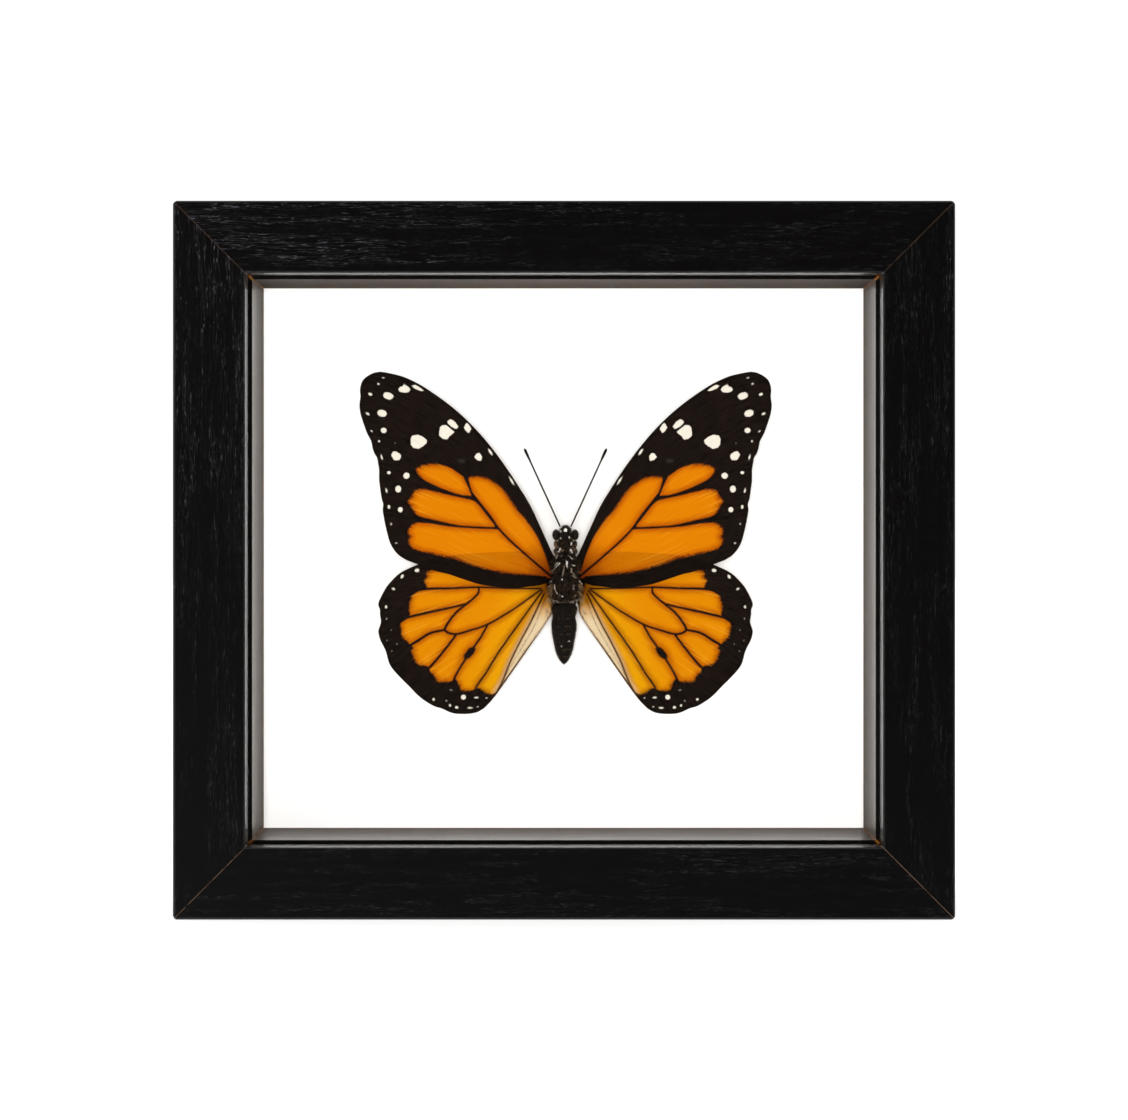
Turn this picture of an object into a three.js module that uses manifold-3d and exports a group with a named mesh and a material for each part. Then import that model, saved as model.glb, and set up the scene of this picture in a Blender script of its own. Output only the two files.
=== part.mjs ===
// A spread monarch butterfly on white board in a deep black shadow-box frame.
// Millimetres, +Z up. The frame stands on its bottom rail and its glass faces -Y.
// The origin is the middle of the frame's footprint.

import * as THREE from 'three';
import { mergeVertices } from 'three/addons/utils/BufferGeometryUtils.js';
import Module from 'manifold-3d';

const wasm = await Module();
wasm.setup();

// Frame rails
const frameWidth = 148;
const frameHeight = 136;
const frameDepth = 40;
const railFace = 13.7; // flat front of a rail
const railWall = 8.5; // thickness of a rail behind its lip
const lipDepth = 5.3; // front plane to the seat of the glass
const lipRadius = 0.6; // rounded edge of the lip
const arrisRadius = 0.5; // eased outer front edge
const edgeSteps = 4; // facets of a rounded edge
const mitreGap = 0.1; // each rail stops this far short of the mitre plane
const fitGap = 0.3; // play between pieces that lie against each other

// Stack inside the rails, from front to back
const glassThickness = 2;
const chamberDepth = 21.1; // glass to board
const spacerProud = 0.6; // spacers stand this far inside the lip
const boardThickness = 5;
const panelThickness = 3;

// Steel tabs driven into the rails behind the panel
const pointWidth = 8;
const pointThickness = 0.4;
const pointBite = 4; // length in the wood
const pointReach = 6; // length over the panel
const pointsPerRail = 2;

// Sawtooth hanger
const hangerLength = 44;
const hangerHeight = 8;
const hangerThickness = 0.8;
const hangerFoot = 8; // flat end that is nailed down
const hangerRamp = 3;
const hangerRise = 1.2; // how far the middle stands off the panel
const hangerDrop = 24; // below the top of the frame
const toothCount = 9;
const toothDepth = 1.6;
const toothTip = 0.1; // the saw stops this far below the strip, so each tooth has a blunt tip
const contactGap = 0.02; // between the strip and the panel it is nailed to
const nailRadius = 0.6;
const nailHeadRadius = 1.5;
const nailHeadThickness = 0.5;
const nailLength = 2.3; // length in the panel
const nailTaper = 0.4;
const roundSides = 12;

// Butterfly
const axisX = 0.35; // body axis, a little right of the frame's middle
const thoraxZ = 64.3;
const bodyDepth = 18.5; // front plane to the body axis
const wingThickness = 0.3;
const wingDihedral = THREE.MathUtils.degToRad(4);
const wingCamber = 0.3;
const forewingStep = 1.3; // wing root in front of the body axis
const hindwingStep = 0.4;
const outlineSteps = 56;
const wingRings = 4;

const thoraxHalf = { width: 3.0, depth: 3.2, length: 4.85 };
const thoraxRise = 0.25;
const barrelSquareness = 4; // exponent of the rounded ends of the thorax and the head
const barrelSteps = 8;
const bodySides = 16;

const abdomenShift = -0.3; // it hangs a little left of the body axis
const abdomenSteps = 14;

const headCentre = 7.75;
const headHalf = { width: 1.95, depth: 2.1, length: 2.35 };
const eyeHalf = { width: 0.8, depth: 0.95, length: 1.0 };
const eyePlace = [1.75, -0.3, 0.85]; // from the head's centre
const palpHalf = { width: 0.55, depth: 0.7, length: 0.6 };
const palpPlace = [1.6, -0.5, -1.1]; // from the head's centre
const collarPlace = [1.7, -0.4, -0.75]; // from the thorax's upper end
const tongueRadius = 0.75;
const tongueThickness = 0.18;

const antennaBase = [1.05, 10.35];
const antennaTip = [7.8, 24.9];
const antennaRadius = 0.16;
const clubRadius = 0.33;
const clubLength = 2.6;
const antennaStep = 0.8; // in front of the body axis

const legRadius = 0.22; // of the upper segment
const legTaper = 0.2; // share of it lost at each joint
const pinRadius = 0.25;
const pinBite = 3; // length in the board
const pinTop = -0.8; // end inside the thorax, behind the body axis when positive
const holeGap = 0.25; // play around the pin and the nails

// Left wings as seen from the front: outwards from the body axis, and up from the thorax centre.
const forewingOutline = [
  [2.8, 4.6], [5.2, 10.6], [9.1, 17.8], [13.8, 24.6], [19.5, 31.0], [25.5, 35.8], [31.5, 39.1],
  [36.0, 40.0], [39.0, 38.6], [39.8, 35.4], [39.6, 31.4], [37.9, 27.0], [36.3, 21.7], [35.6, 15.0],
  [34.7, 9.2], [32.7, 4.7], [28.8, 2.7], [22.0, 0.4], [15.5, -1.3], [10.6, -2.0], [6.5, -1.4], [3.9, 0.6],
];
const forewingHub = [5.2, 1.8];
const hindwingOutline = [
  [4.4, 1.2], [6.9, 4.4], [12.8, 4.9], [20.2, 4.3], [28.7, 2.5], [33.0, 0.3], [35.8, -3.8], [36.2, -8.0],
  [35.9, -12.3], [33.9, -17.2], [30.3, -21.2], [25.7, -25.1], [20.0, -26.6], [15.9, -25.5], [13.1, -22.1],
  [9.4, -16.9], [5.0, -10.5], [3.4, -6.5], [3.6, -2.4],
];
const hindwingHub = [6.2, -0.6];

// Abdomen from its tip to the thorax: radius, and height from the thorax centre.
const abdomenProfile = [
  [0, -16.9], [1.0, -15.6], [1.63, -14.05], [2.0, -12.3], [2.4, -9.0],
  [2.2, -7.4], [2.6, -5.9], [1.9, -5.05], [0, -4.9],
];

// Legs of the left side as points: outwards, towards the board, up.
const legRoutes = [
  [[1.0, 2.0, 1.2], [2.3, 4.3, 3.0], [1.5, 5.2, -1.8], [1.2, 5.5, -4.4]],
  [[1.0, 2.1, -1.6], [2.3, 4.3, -3.4], [1.3, 4.9, -7.6], [1.0, 5.1, -9.8]],
];

// Places that follow from the sizes above
const frontY = -frameDepth / 2;
const glassFront = frontY + lipDepth + fitGap;
const glassBack = glassFront + glassThickness;
const boardFront = glassBack + chamberDepth;
const boardBack = boardFront + boardThickness;
const panelBack = boardBack + panelThickness;
const openWidth = frameWidth - 2 * railFace;
const openHeight = frameHeight - 2 * railFace;
const innerWidth = frameWidth - 2 * (railWall + fitGap);
const innerHeight = frameHeight - 2 * (railWall + fitGap);
const middleZ = frameHeight / 2;
const bodyY = frontY + bodyDepth;

// Finishes
const finish = (color, roughness, metalness = 0) => (
  new THREE.MeshStandardMaterial({ color, roughness, metalness })
);
const blackWood = finish('#171615', 0.5);
const blackStrip = finish('#1c1a19', 0.45);
const whiteBoard = finish('#f7f6f3', 0.9);
const hardboard = finish('#6f4e35', 0.8);
const steel = finish('#b6b9bd', 0.35, 1);
const wingScales = finish('#e58a08', 0.75);
const bodyHair = finish('#15120f', 0.85);
const clearGlass = new THREE.MeshStandardMaterial({
  color: '#f2f7f6', roughness: 0.05, metalness: 0, transparent: true, opacity: 0.2,
});

const piece = (name, geometry, material) => {
  const mesh = new THREE.Mesh(geometry, material);
  mesh.name = name;
  return mesh;
};

function toSolid(geometry) {
  const bare = geometry.clone();
  bare.deleteAttribute('normal');
  bare.deleteAttribute('uv');
  const merged = mergeVertices(bare);
  return new wasm.Manifold(new wasm.Mesh({
    numProp: 3,
    vertProperties: new Float32Array(merged.attributes.position.array),
    triVerts: new Uint32Array(merged.index.array),
  }));
}

function toGeometry(solid) {
  const mesh = solid.getMesh();
  const geometry = new THREE.BufferGeometry();
  geometry.setAttribute('position', new THREE.BufferAttribute(mesh.vertProperties, 3));
  geometry.setIndex(new THREE.BufferAttribute(mesh.triVerts, 1));
  geometry.computeVertexNormals();
  return geometry;
}

const join = (...geometries) => toGeometry(geometries.map(toSolid).reduce((whole, part) => whole.add(part)));

const cut = (geometry, ...tools) => (
  toGeometry(tools.map(toSolid).reduce((whole, tool) => whole.subtract(tool), toSolid(geometry)))
);

function box(x, y, z) {
  const geometry = new THREE.BoxGeometry(x[1] - x[0], y[1] - y[0], z[1] - z[0]);
  return geometry.translate((x[0] + x[1]) / 2, (y[0] + y[1]) / 2, (z[0] + z[1]) / 2);
}

const centred = (width) => [-width / 2, width / 2];

function ellipsoid(half, place, across = 10, along = 6) {
  const geometry = new THREE.SphereGeometry(1, across, along).rotateX(Math.PI / 2);
  return geometry.scale(half.width, half.depth, half.length).translate(...place);
}

function strut(from, to, radius) {
  const start = new THREE.Vector3(...from);
  const end = new THREE.Vector3(...to);
  const along = end.clone().sub(start);
  const turn = new THREE.Quaternion();
  turn.setFromUnitVectors(new THREE.Vector3(0, 1, 0), along.clone().normalize());
  const geometry = new THREE.CylinderGeometry(radius, radius, along.length(), 6);
  return geometry.applyQuaternion(turn).translate(...start.lerp(end, 0.5));
}

// Section of a rail: x runs from its outer edge to its lip, y from front to back.
function railSection() {
  const quarter = Math.PI / 2;
  const section = new THREE.Shape();
  section.moveTo(0, frameDepth);
  section.lineTo(0, arrisRadius);
  section.absarc(arrisRadius, arrisRadius, arrisRadius, 2 * quarter, 3 * quarter);
  section.lineTo(railFace - lipRadius, 0);
  section.absarc(railFace - lipRadius, lipRadius, lipRadius, 3 * quarter, 4 * quarter);
  section.lineTo(railFace, lipDepth);
  section.lineTo(railWall, lipDepth);
  section.lineTo(railWall, frameDepth);
  section.closePath();
  return section;
}

// A rail lies along X with its outer face at -reach in Z. Both ends are mitred at 45 degrees.
function railGeometry(length, reach) {
  const geometry = new THREE.ExtrudeGeometry(railSection(), {
    depth: length, bevelEnabled: false, curveSegments: edgeSteps,
  });
  const place = geometry.attributes.position;
  for (let i = 0; i < place.count; i += 1) {
    const inwards = place.getX(i);
    const end = place.getZ(i) > length / 2 ? 1 : -1;
    const along = end * (length / 2 - inwards - mitreGap);
    place.setXYZ(i, -along, frontY + place.getY(i), inwards - reach);
  }
  geometry.computeVertexNormals();
  return geometry;
}

// Thin steel tab: its tapered half is in the wood, its square half lies over the panel.
function pointGeometry(reach) {
  const wall = railWall - reach;
  const tab = new THREE.Shape();
  tab.moveTo(-pointWidth / 2, wall + pointReach);
  tab.lineTo(-pointWidth / 2, wall);
  tab.lineTo(0, wall - pointBite);
  tab.lineTo(pointWidth / 2, wall);
  tab.lineTo(pointWidth / 2, wall + pointReach);
  tab.closePath();
  const geometry = new THREE.ExtrudeGeometry(tab, { depth: pointThickness, bevelEnabled: false });
  return geometry.rotateX(Math.PI / 2).translate(0, panelBack + fitGap + pointThickness, 0);
}

function pointSlot(reach) {
  const wall = railWall - reach;
  return box(
    centred(pointWidth + 2 * fitGap),
    [panelBack, panelBack + pointThickness + 2 * fitGap],
    [wall - pointBite - fitGap, wall + fitGap],
  );
}

// One side of the frame: a rail and the tabs in it, turned about the middle of the frame.
function frameSide(name, length, reach, turn) {
  const side = new THREE.Group();
  const spots = [];
  for (let i = 0; i < pointsPerRail; i += 1) {
    spots.push(length * ((i + 1) / (pointsPerRail + 1) - 0.5));
  }
  const slots = spots.map((spot) => pointSlot(reach).translate(spot, 0, 0));
  side.add(piece(`frame_${name}`, cut(railGeometry(length, reach), ...slots), blackWood));
  spots.forEach((spot, i) => {
    const point = piece(`framer_point_${name}_${i + 1}`, pointGeometry(reach), steel);
    point.position.x = spot;
    side.add(point);
  });
  side.rotation.y = turn;
  return side;
}

function frameRails() {
  const rails = new THREE.Group();
  const quarter = Math.PI / 2;
  rails.add(frameSide('bottom', frameWidth, frameHeight / 2, 0));
  rails.add(frameSide('left', frameHeight, frameWidth / 2, quarter));
  rails.add(frameSide('top', frameWidth, frameHeight / 2, 2 * quarter));
  rails.add(frameSide('right', frameHeight, frameWidth / 2, 3 * quarter));
  rails.position.z = middleZ;
  return rails;
}

// Top and bottom strips run the full width, and the side strips stand between them.
function spacers() {
  const group = new THREE.Group();
  const depth = [glassBack, boardFront];
  const insideX = openWidth / 2 - spacerProud;
  const insideZ = openHeight / 2 - spacerProud;
  const upper = [insideZ, innerHeight / 2];
  const outer = [insideX, innerWidth / 2];
  const mirrored = (range) => [-range[1], -range[0]];
  group.add(piece('spacer_top', box(centred(innerWidth), depth, upper), blackStrip));
  group.add(piece('spacer_bottom', box(centred(innerWidth), depth, mirrored(upper)), blackStrip));
  group.add(piece('spacer_right', box(outer, depth, centred(2 * insideZ)), blackStrip));
  group.add(piece('spacer_left', box(mirrored(outer), depth, centred(2 * insideZ)), blackStrip));
  group.position.z = middleZ;
  return group;
}

function glass() {
  const sheet = box(centred(innerWidth), [glassFront, glassBack], centred(innerHeight));
  const pane = piece('glass', sheet, clearGlass);
  pane.position.z = middleZ;
  return pane;
}

// A round hole along Y.
const drill = (radius, y, x, z) => (
  new THREE.CylinderGeometry(radius, radius, y[1] - y[0], roundSides).translate(x, (y[0] + y[1]) / 2, z)
);

function mountBoard() {
  const sheet = box(centred(innerWidth), [boardFront, boardBack], centred(innerHeight));
  const depth = [boardFront - 1, boardFront + pinBite + holeGap];
  const pinHole = drill(pinRadius + holeGap, depth, axisX, thoraxZ + thoraxRise - middleZ);
  const board = piece('mount_board', cut(sheet, pinHole), whiteBoard);
  board.position.z = middleZ;
  return board;
}

const hangerZ = frameHeight - hangerDrop;
const nailX = (hangerLength - hangerFoot) / 2;
const nailSpots = [-nailX, nailX];

function backPanel() {
  const sheet = box(centred(innerWidth), [boardBack, panelBack], centred(innerHeight));
  const depth = [panelBack - nailLength - holeGap, panelBack + 1];
  const holes = nailSpots.map((x) => drill(nailRadius + holeGap, depth, x, hangerZ - middleZ));
  const panel = piece('back_panel', cut(sheet, ...holes), hardboard);
  panel.position.z = middleZ;
  return panel;
}

// Strip bent outwards in the middle, with a row of teeth along its lower edge for a wall nail.
function hangerGeometry() {
  const half = hangerLength / 2;
  const bend = half - hangerFoot;
  const rise = bend - hangerRamp;
  const top = hangerThickness;
  const strip = new THREE.Shape();
  strip.moveTo(-half, 0);
  strip.lineTo(-bend, 0);
  strip.lineTo(-rise, hangerRise);
  strip.lineTo(rise, hangerRise);
  strip.lineTo(bend, 0);
  strip.lineTo(half, 0);
  strip.lineTo(half, top);
  strip.lineTo(bend, top);
  strip.lineTo(rise, hangerRise + top);
  strip.lineTo(-rise, hangerRise + top);
  strip.lineTo(-bend, top);
  strip.lineTo(-half, top);
  strip.closePath();
  const body = new THREE.ExtrudeGeometry(strip, { depth: hangerHeight, bevelEnabled: false });
  body.translate(0, 0, -hangerHeight / 2);

  const pitch = (2 * rise) / toothCount;
  const teeth = new THREE.Shape();
  teeth.moveTo(-rise, -hangerHeight);
  for (let i = 0; i < toothCount; i += 1) {
    teeth.lineTo(-rise + i * pitch, -hangerHeight / 2 - toothTip);
    teeth.lineTo(-rise + (i + 0.5) * pitch, -hangerHeight / 2 + toothDepth);
  }
  teeth.lineTo(rise, -hangerHeight / 2 - toothTip);
  teeth.lineTo(rise, -hangerHeight);
  teeth.closePath();
  const saw = new THREE.ExtrudeGeometry(teeth, { depth: 4 * hangerRise, bevelEnabled: false });
  saw.rotateX(Math.PI / 2).translate(0, 3 * hangerRise, 0);

  const holes = nailSpots.map((x) => drill(nailRadius + holeGap, [-1, top + 1], x, 0));
  return cut(body, saw, ...holes);
}

// Nail along Y with a flat round head towards the back.
function nailGeometry() {
  const seat = hangerThickness + holeGap;
  const top = seat + nailHeadThickness;
  const profile = [
    [0, -nailLength], [nailRadius, nailTaper - nailLength], [nailRadius, seat], [nailHeadRadius, seat],
    [nailHeadRadius, (seat + top) / 2], [nailHeadRadius * 0.7, top], [0, top],
  ];
  return new THREE.LatheGeometry(profile.map((p) => new THREE.Vector2(...p)), roundSides);
}

function hanger() {
  const group = new THREE.Group();
  group.add(piece('hanger', hangerGeometry(), steel));
  nailSpots.forEach((x, i) => {
    const nail = piece(`hanger_nail_${i + 1}`, nailGeometry(), steel);
    nail.position.x = x;
    group.add(nail);
  });
  group.position.set(0, panelBack + contactGap, hangerZ);
  return group;
}

// A wing is a thin cambered sheet: rings of points from a hub near its root to its outline.
function wingGeometry(outline, hub, step, side) {
  const corners = outline.map(([out, up]) => new THREE.Vector3(out, up, 0));
  const rim = new THREE.CatmullRomCurve3(corners, true, 'centripetal').getSpacedPoints(outlineSteps);
  rim.pop();
  const positions = [];
  const addPoint = (out, up, share, face) => {
    const lift = out * Math.tan(wingDihedral) + wingCamber * Math.sin(Math.PI * share);
    positions.push(side * out, -step - lift + (face * wingThickness) / 2, up);
  };
  const faces = [-1, 1];
  faces.forEach((face) => {
    addPoint(...hub, 0, face);
    for (let ring = 1; ring <= wingRings; ring += 1) {
      const share = ring / wingRings;
      rim.forEach((p) => {
        addPoint(hub[0] + (p.x - hub[0]) * share, hub[1] + (p.y - hub[1]) * share, share, face);
      });
    }
  });

  const sheetSize = 1 + wingRings * outlineSteps;
  const at = (sheet, ring, k) => sheet * sheetSize + 1 + (ring - 1) * outlineSteps + (k % outlineSteps);
  const triangles = [];
  const add = (a, b, c, flip) => triangles.push(...(flip ? [a, c, b] : [a, b, c]));
  for (let k = 0; k < outlineSteps; k += 1) {
    faces.forEach((face, sheet) => {
      const flip = face * side > 0;
      add(sheet * sheetSize, at(sheet, 1, k + 1), at(sheet, 1, k), flip);
      for (let ring = 1; ring < wingRings; ring += 1) {
        add(at(sheet, ring, k), at(sheet, ring, k + 1), at(sheet, ring + 1, k + 1), flip);
        add(at(sheet, ring, k), at(sheet, ring + 1, k + 1), at(sheet, ring + 1, k), flip);
      }
    });
    const flip = side < 0;
    add(at(0, wingRings, k), at(0, wingRings, k + 1), at(1, wingRings, k + 1), flip);
    add(at(0, wingRings, k), at(1, wingRings, k + 1), at(1, wingRings, k), flip);
  }

  const geometry = new THREE.BufferGeometry();
  geometry.setAttribute('position', new THREE.Float32BufferAttribute(positions, 3));
  geometry.setIndex(triangles);
  geometry.computeVertexNormals();
  return geometry;
}

// A body section turned about Z from points of radius and height, squashed to its depth.
function turned(profile, depthShare) {
  const points = profile.map(([radius, height]) => new THREE.Vector2(radius, height));
  return new THREE.LatheGeometry(points, bodySides).rotateX(Math.PI / 2).scale(1, depthShare, 1);
}

// A barrel with rounded ends.
function barrel(half, rise) {
  const profile = [];
  for (let i = 0; i <= barrelSteps; i += 1) {
    const height = -Math.cos((Math.PI * i) / barrelSteps);
    const radius = (1 - Math.abs(height) ** barrelSquareness) ** (1 / barrelSquareness);
    profile.push([i % barrelSteps === 0 ? 0 : half.width * radius, rise + half.length * height]);
  }
  return turned(profile, half.depth / half.width);
}

function legs() {
  const pieces = [];
  [-1, 1].forEach((side) => {
    legRoutes.forEach((route) => {
      const points = route.map(([out, back, up]) => [side * out, back, up]);
      for (let i = 1; i < points.length; i += 1) {
        const radius = legRadius * (1 - legTaper * (i - 1));
        pieces.push(strut(points[i - 1], points[i], radius));
        pieces.push(ellipsoid({ width: radius, depth: radius, length: radius }, points[i], 6, 4));
      }
    });
  });
  return pieces;
}

// The same place on both sides of the body.
const onBothSides = (half, [out, back, up], rise) => (
  [-1, 1].map((side) => ellipsoid(half, [side * out, back, rise + up]))
);

function thoraxGeometry() {
  const collars = onBothSides(palpHalf, collarPlace, thoraxRise + thoraxHalf.length);
  const whole = join(barrel(thoraxHalf, thoraxRise), ...collars, ...legs());
  return cut(whole, drill(pinRadius + holeGap, [pinTop - holeGap, thoraxHalf.depth + 1], 0, thoraxRise));
}

function abdomenGeometry() {
  const points = abdomenProfile.map(([radius, height]) => new THREE.Vector2(radius, height));
  const profile = new THREE.SplineCurve(points).getPoints(abdomenSteps).map((p) => [p.x, p.y]);
  return turned(profile, 1).translate(abdomenShift, 0, 0);
}

function headGeometry() {
  const eyes = onBothSides(eyeHalf, eyePlace, headCentre);
  const palps = onBothSides(palpHalf, palpPlace, headCentre);
  const tongue = new THREE.TorusGeometry(tongueRadius, tongueThickness, 6, 14).rotateY(Math.PI / 2);
  tongue.translate(0, headHalf.depth + tongueRadius * 0.6, headCentre);
  return join(barrel(headHalf, headCentre), ...eyes, ...palps, tongue);
}

// Straight slim rod with a club at its tip.
function antenna(name, side) {
  const base = new THREE.Vector3(side * antennaBase[0], -antennaStep, antennaBase[1]);
  const tip = new THREE.Vector3(side * antennaTip[0], -antennaStep, antennaTip[1]);
  const length = base.distanceTo(tip);
  const profile = [
    [0, 0], [antennaRadius, 0.1], [antennaRadius, length - clubLength], [clubRadius, length - 0.9],
    [clubRadius * 0.8, length - 0.3], [0, length],
  ];
  const rod = new THREE.LatheGeometry(profile.map((p) => new THREE.Vector2(...p)), 8);
  const mesh = piece(name, rod, bodyHair);
  const direction = tip.sub(base).normalize();
  mesh.quaternion.setFromUnitVectors(new THREE.Vector3(0, 1, 0), direction);
  mesh.position.copy(base);
  return mesh;
}

function pin() {
  const length = boardFront + pinBite - bodyY - pinTop;
  const rod = new THREE.CylinderGeometry(pinRadius, pinRadius, length, 8);
  return piece('pin', rod.translate(0, pinTop + length / 2, thoraxRise), steel);
}

function butterfly() {
  const group = new THREE.Group();
  group.add(piece('head', headGeometry(), bodyHair));
  group.add(piece('thorax', thoraxGeometry(), bodyHair));
  group.add(piece('abdomen', abdomenGeometry(), bodyHair));
  const sides = { left: -1, right: 1 };
  Object.entries(sides).forEach(([name, side]) => {
    const fore = wingGeometry(forewingOutline, forewingHub, forewingStep, side);
    const hind = wingGeometry(hindwingOutline, hindwingHub, hindwingStep, side);
    group.add(piece(`forewing_${name}`, fore, wingScales));
    group.add(piece(`hindwing_${name}`, hind, wingScales));
    group.add(antenna(`antenna_${name}`, side));
  });
  group.add(pin());
  group.position.set(axisX, bodyY, thoraxZ);
  return group;
}

const framedButterfly = new THREE.Group();
framedButterfly.add(frameRails(), glass(), spacers(), mountBoard(), backPanel(), hanger(), butterfly());

export default framedButterfly;
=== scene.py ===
import math
from functools import partial

import bmesh
import bpy
import numpy as np
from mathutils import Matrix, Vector


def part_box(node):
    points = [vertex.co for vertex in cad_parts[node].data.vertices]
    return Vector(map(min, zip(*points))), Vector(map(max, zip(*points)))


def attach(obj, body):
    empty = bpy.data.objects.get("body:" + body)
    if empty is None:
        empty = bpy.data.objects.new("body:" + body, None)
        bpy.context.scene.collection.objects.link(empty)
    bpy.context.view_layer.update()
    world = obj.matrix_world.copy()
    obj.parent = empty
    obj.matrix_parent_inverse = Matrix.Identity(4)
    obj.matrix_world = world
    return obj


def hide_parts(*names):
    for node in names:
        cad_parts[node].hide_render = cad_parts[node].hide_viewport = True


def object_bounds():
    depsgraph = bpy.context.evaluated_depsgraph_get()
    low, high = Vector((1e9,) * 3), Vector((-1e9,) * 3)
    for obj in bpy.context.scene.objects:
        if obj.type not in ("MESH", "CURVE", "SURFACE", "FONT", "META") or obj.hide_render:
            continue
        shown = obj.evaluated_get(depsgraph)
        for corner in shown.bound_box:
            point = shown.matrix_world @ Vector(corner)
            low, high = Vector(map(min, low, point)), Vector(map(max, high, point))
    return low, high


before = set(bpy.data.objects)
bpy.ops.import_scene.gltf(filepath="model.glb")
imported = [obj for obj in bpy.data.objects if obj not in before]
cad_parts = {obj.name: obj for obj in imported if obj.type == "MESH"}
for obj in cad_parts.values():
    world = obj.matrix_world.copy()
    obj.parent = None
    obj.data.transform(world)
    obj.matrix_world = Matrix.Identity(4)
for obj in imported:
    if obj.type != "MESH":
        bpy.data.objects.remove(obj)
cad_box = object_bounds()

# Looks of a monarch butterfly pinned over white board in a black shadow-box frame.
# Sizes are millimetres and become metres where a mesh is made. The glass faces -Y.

MM = 0.001
sides = {"left": -1, "right": 1}
chance = np.random.default_rng(11)


# Small helpers

def linear(hex_colour):
    """An sRGB hex colour as linear red, green, blue and full alpha."""
    parts = [int(hex_colour[start:start + 2], 16) / 255 for start in (1, 3, 5)]
    return [p / 12.92 if p <= 0.04045 else ((p + 0.055) / 1.055) ** 2.4 for p in parts] + [1.0]


def main_output(source):
    """A node's first output in use. An output stands for itself."""
    if isinstance(source, bpy.types.NodeSocket):
        return source
    return next(output for output in source.outputs if output.enabled)


def node(tree, kind, *values, **settings):
    """Adds one node. The values go to its sockets in use, in order. A setting in small letters is a
    property, and one with a capital is a socket. Values are numbers, hex colours, nodes or outputs."""
    made = tree.nodes.new("ShaderNode" + kind)
    sockets = {}
    for name, setting in settings.items():
        if name.islower():
            setattr(made, name, setting)
        else:
            sockets[made.inputs[name]] = setting
    in_use = [socket for socket in made.inputs if socket.enabled]
    sockets.update(zip(in_use, values))
    for socket, value in sockets.items():
        if isinstance(value, (bpy.types.Node, bpy.types.NodeSocket)):
            tree.links.new(main_output(value), socket)
        else:
            socket.default_value = linear(value) if isinstance(value, str) else value
    return made


def feed(target, **sources):
    """Links nodes to the sockets of a shader or of a material's output."""
    for socket, source in sources.items():
        target.id_data.links.new(main_output(source), target.inputs[socket.replace("_", " ")])


def new_material(name, **sockets):
    """A material with one Principled shader, its plain values set on its own sockets. Also gives the
    function that adds a node to it, and the shader."""
    material = bpy.data.materials.new(name)
    material.use_nodes = True
    shader = material.node_tree.nodes["Principled BSDF"]
    for socket, value in sockets.items():
        plain = linear(value) if isinstance(value, str) else value
        shader.inputs[socket.replace("_", " ")].default_value = plain
    return material, partial(node, material.node_tree), shader


def deselect():
    bpy.ops.object.select_all(action="DESELECT")


def settle():
    """Puts the place, turn and size of the selected piece into its mesh."""
    bpy.ops.object.transform_apply(location=True, rotation=True, scale=True)


def pick(piece, kind, test):
    """In edit mode, selects only the faces or edges that pass a test."""
    bpy.ops.mesh.select_all(action="DESELECT")
    bpy.ops.mesh.select_mode(type=kind)
    shape = bmesh.from_edit_mesh(piece.data)
    items = shape.faces if kind == "FACE" else shape.edges
    for item in items:
        item.select_set(test(item))
    bmesh.update_edit_mesh(piece.data)


def block(low, high):
    """A cube primitive at the size and place of a box given in millimetres, left in edit mode."""
    deselect()
    low, high = Vector(low) * MM, Vector(high) * MM
    bpy.ops.mesh.primitive_cube_add(size=1, location=(low + high) / 2)
    piece = bpy.context.object
    piece.scale = high - low
    settle()
    bpy.ops.object.mode_set(mode="EDIT")
    return piece


def finish(piece, name, slot, materials, *nodes):
    """Names a finished piece, gives it its materials and puts it in the part."""
    piece.name = name
    piece.data.name = name
    for material in materials:
        piece.data.materials.append(material)
    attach(piece, "root")
    if nodes:
        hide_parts(*nodes)
    return piece


def size_of(node_name):
    """A CAD node's lowest and highest corner in millimetres."""
    low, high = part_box(node_name)
    return low / MM, high / MM


# Sizes from the CAD frame

frame_low, frame_high = cad_box[0] / MM, cad_box[1] / MM
frame_width = frame_high.x - frame_low.x
frame_height = frame_high.z - frame_low.z
frame_depth = frame_high.y - frame_low.y
middle_z = (frame_low.z + frame_high.z) / 2
front_y = frame_low.y
rail_face = size_of("frame_left")[1].x - frame_low.x
fit_gap = 0.3
rail_wall = size_of("glass")[0].x - frame_low.x - fit_gap
lip_depth = size_of("glass")[0].y - front_y - fit_gap
lip_radius = 0.42
arris_radius = 0.5
corner_radius = 1.25
corner_cuts = (45, 60, 75)  # degrees, for one rail's half of a corner
mitre_gap = 0.004
edge_steps = 4
board_front = size_of("mount_board")[0].y
strip_front = size_of("spacer_left")[0].y
spacer_x = size_of("spacer_right")[0].x
spacer_z = size_of("spacer_top")[0].z - middle_z

pin_low, pin_high = size_of("pin")
pin_rise = 0.25  # height of the pin above the thorax centre
axis_x = (pin_low.x + pin_high.x) / 2
thorax_z = (pin_low.z + pin_high.z) / 2 - pin_rise
abdomen_low, abdomen_high = size_of("abdomen")
body_y = (abdomen_low.y + abdomen_high.y) / 2
body_centre = Vector((axis_x, body_y, thorax_z))


# Materials

def along_grain(width, length, axis):
    """Scale of a pattern whose marks have a width and a length, drawn out along one axis."""
    scale = [1 / (width * MM)] * 3
    scale[axis] = 1 / (length * MM)
    return scale


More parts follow.
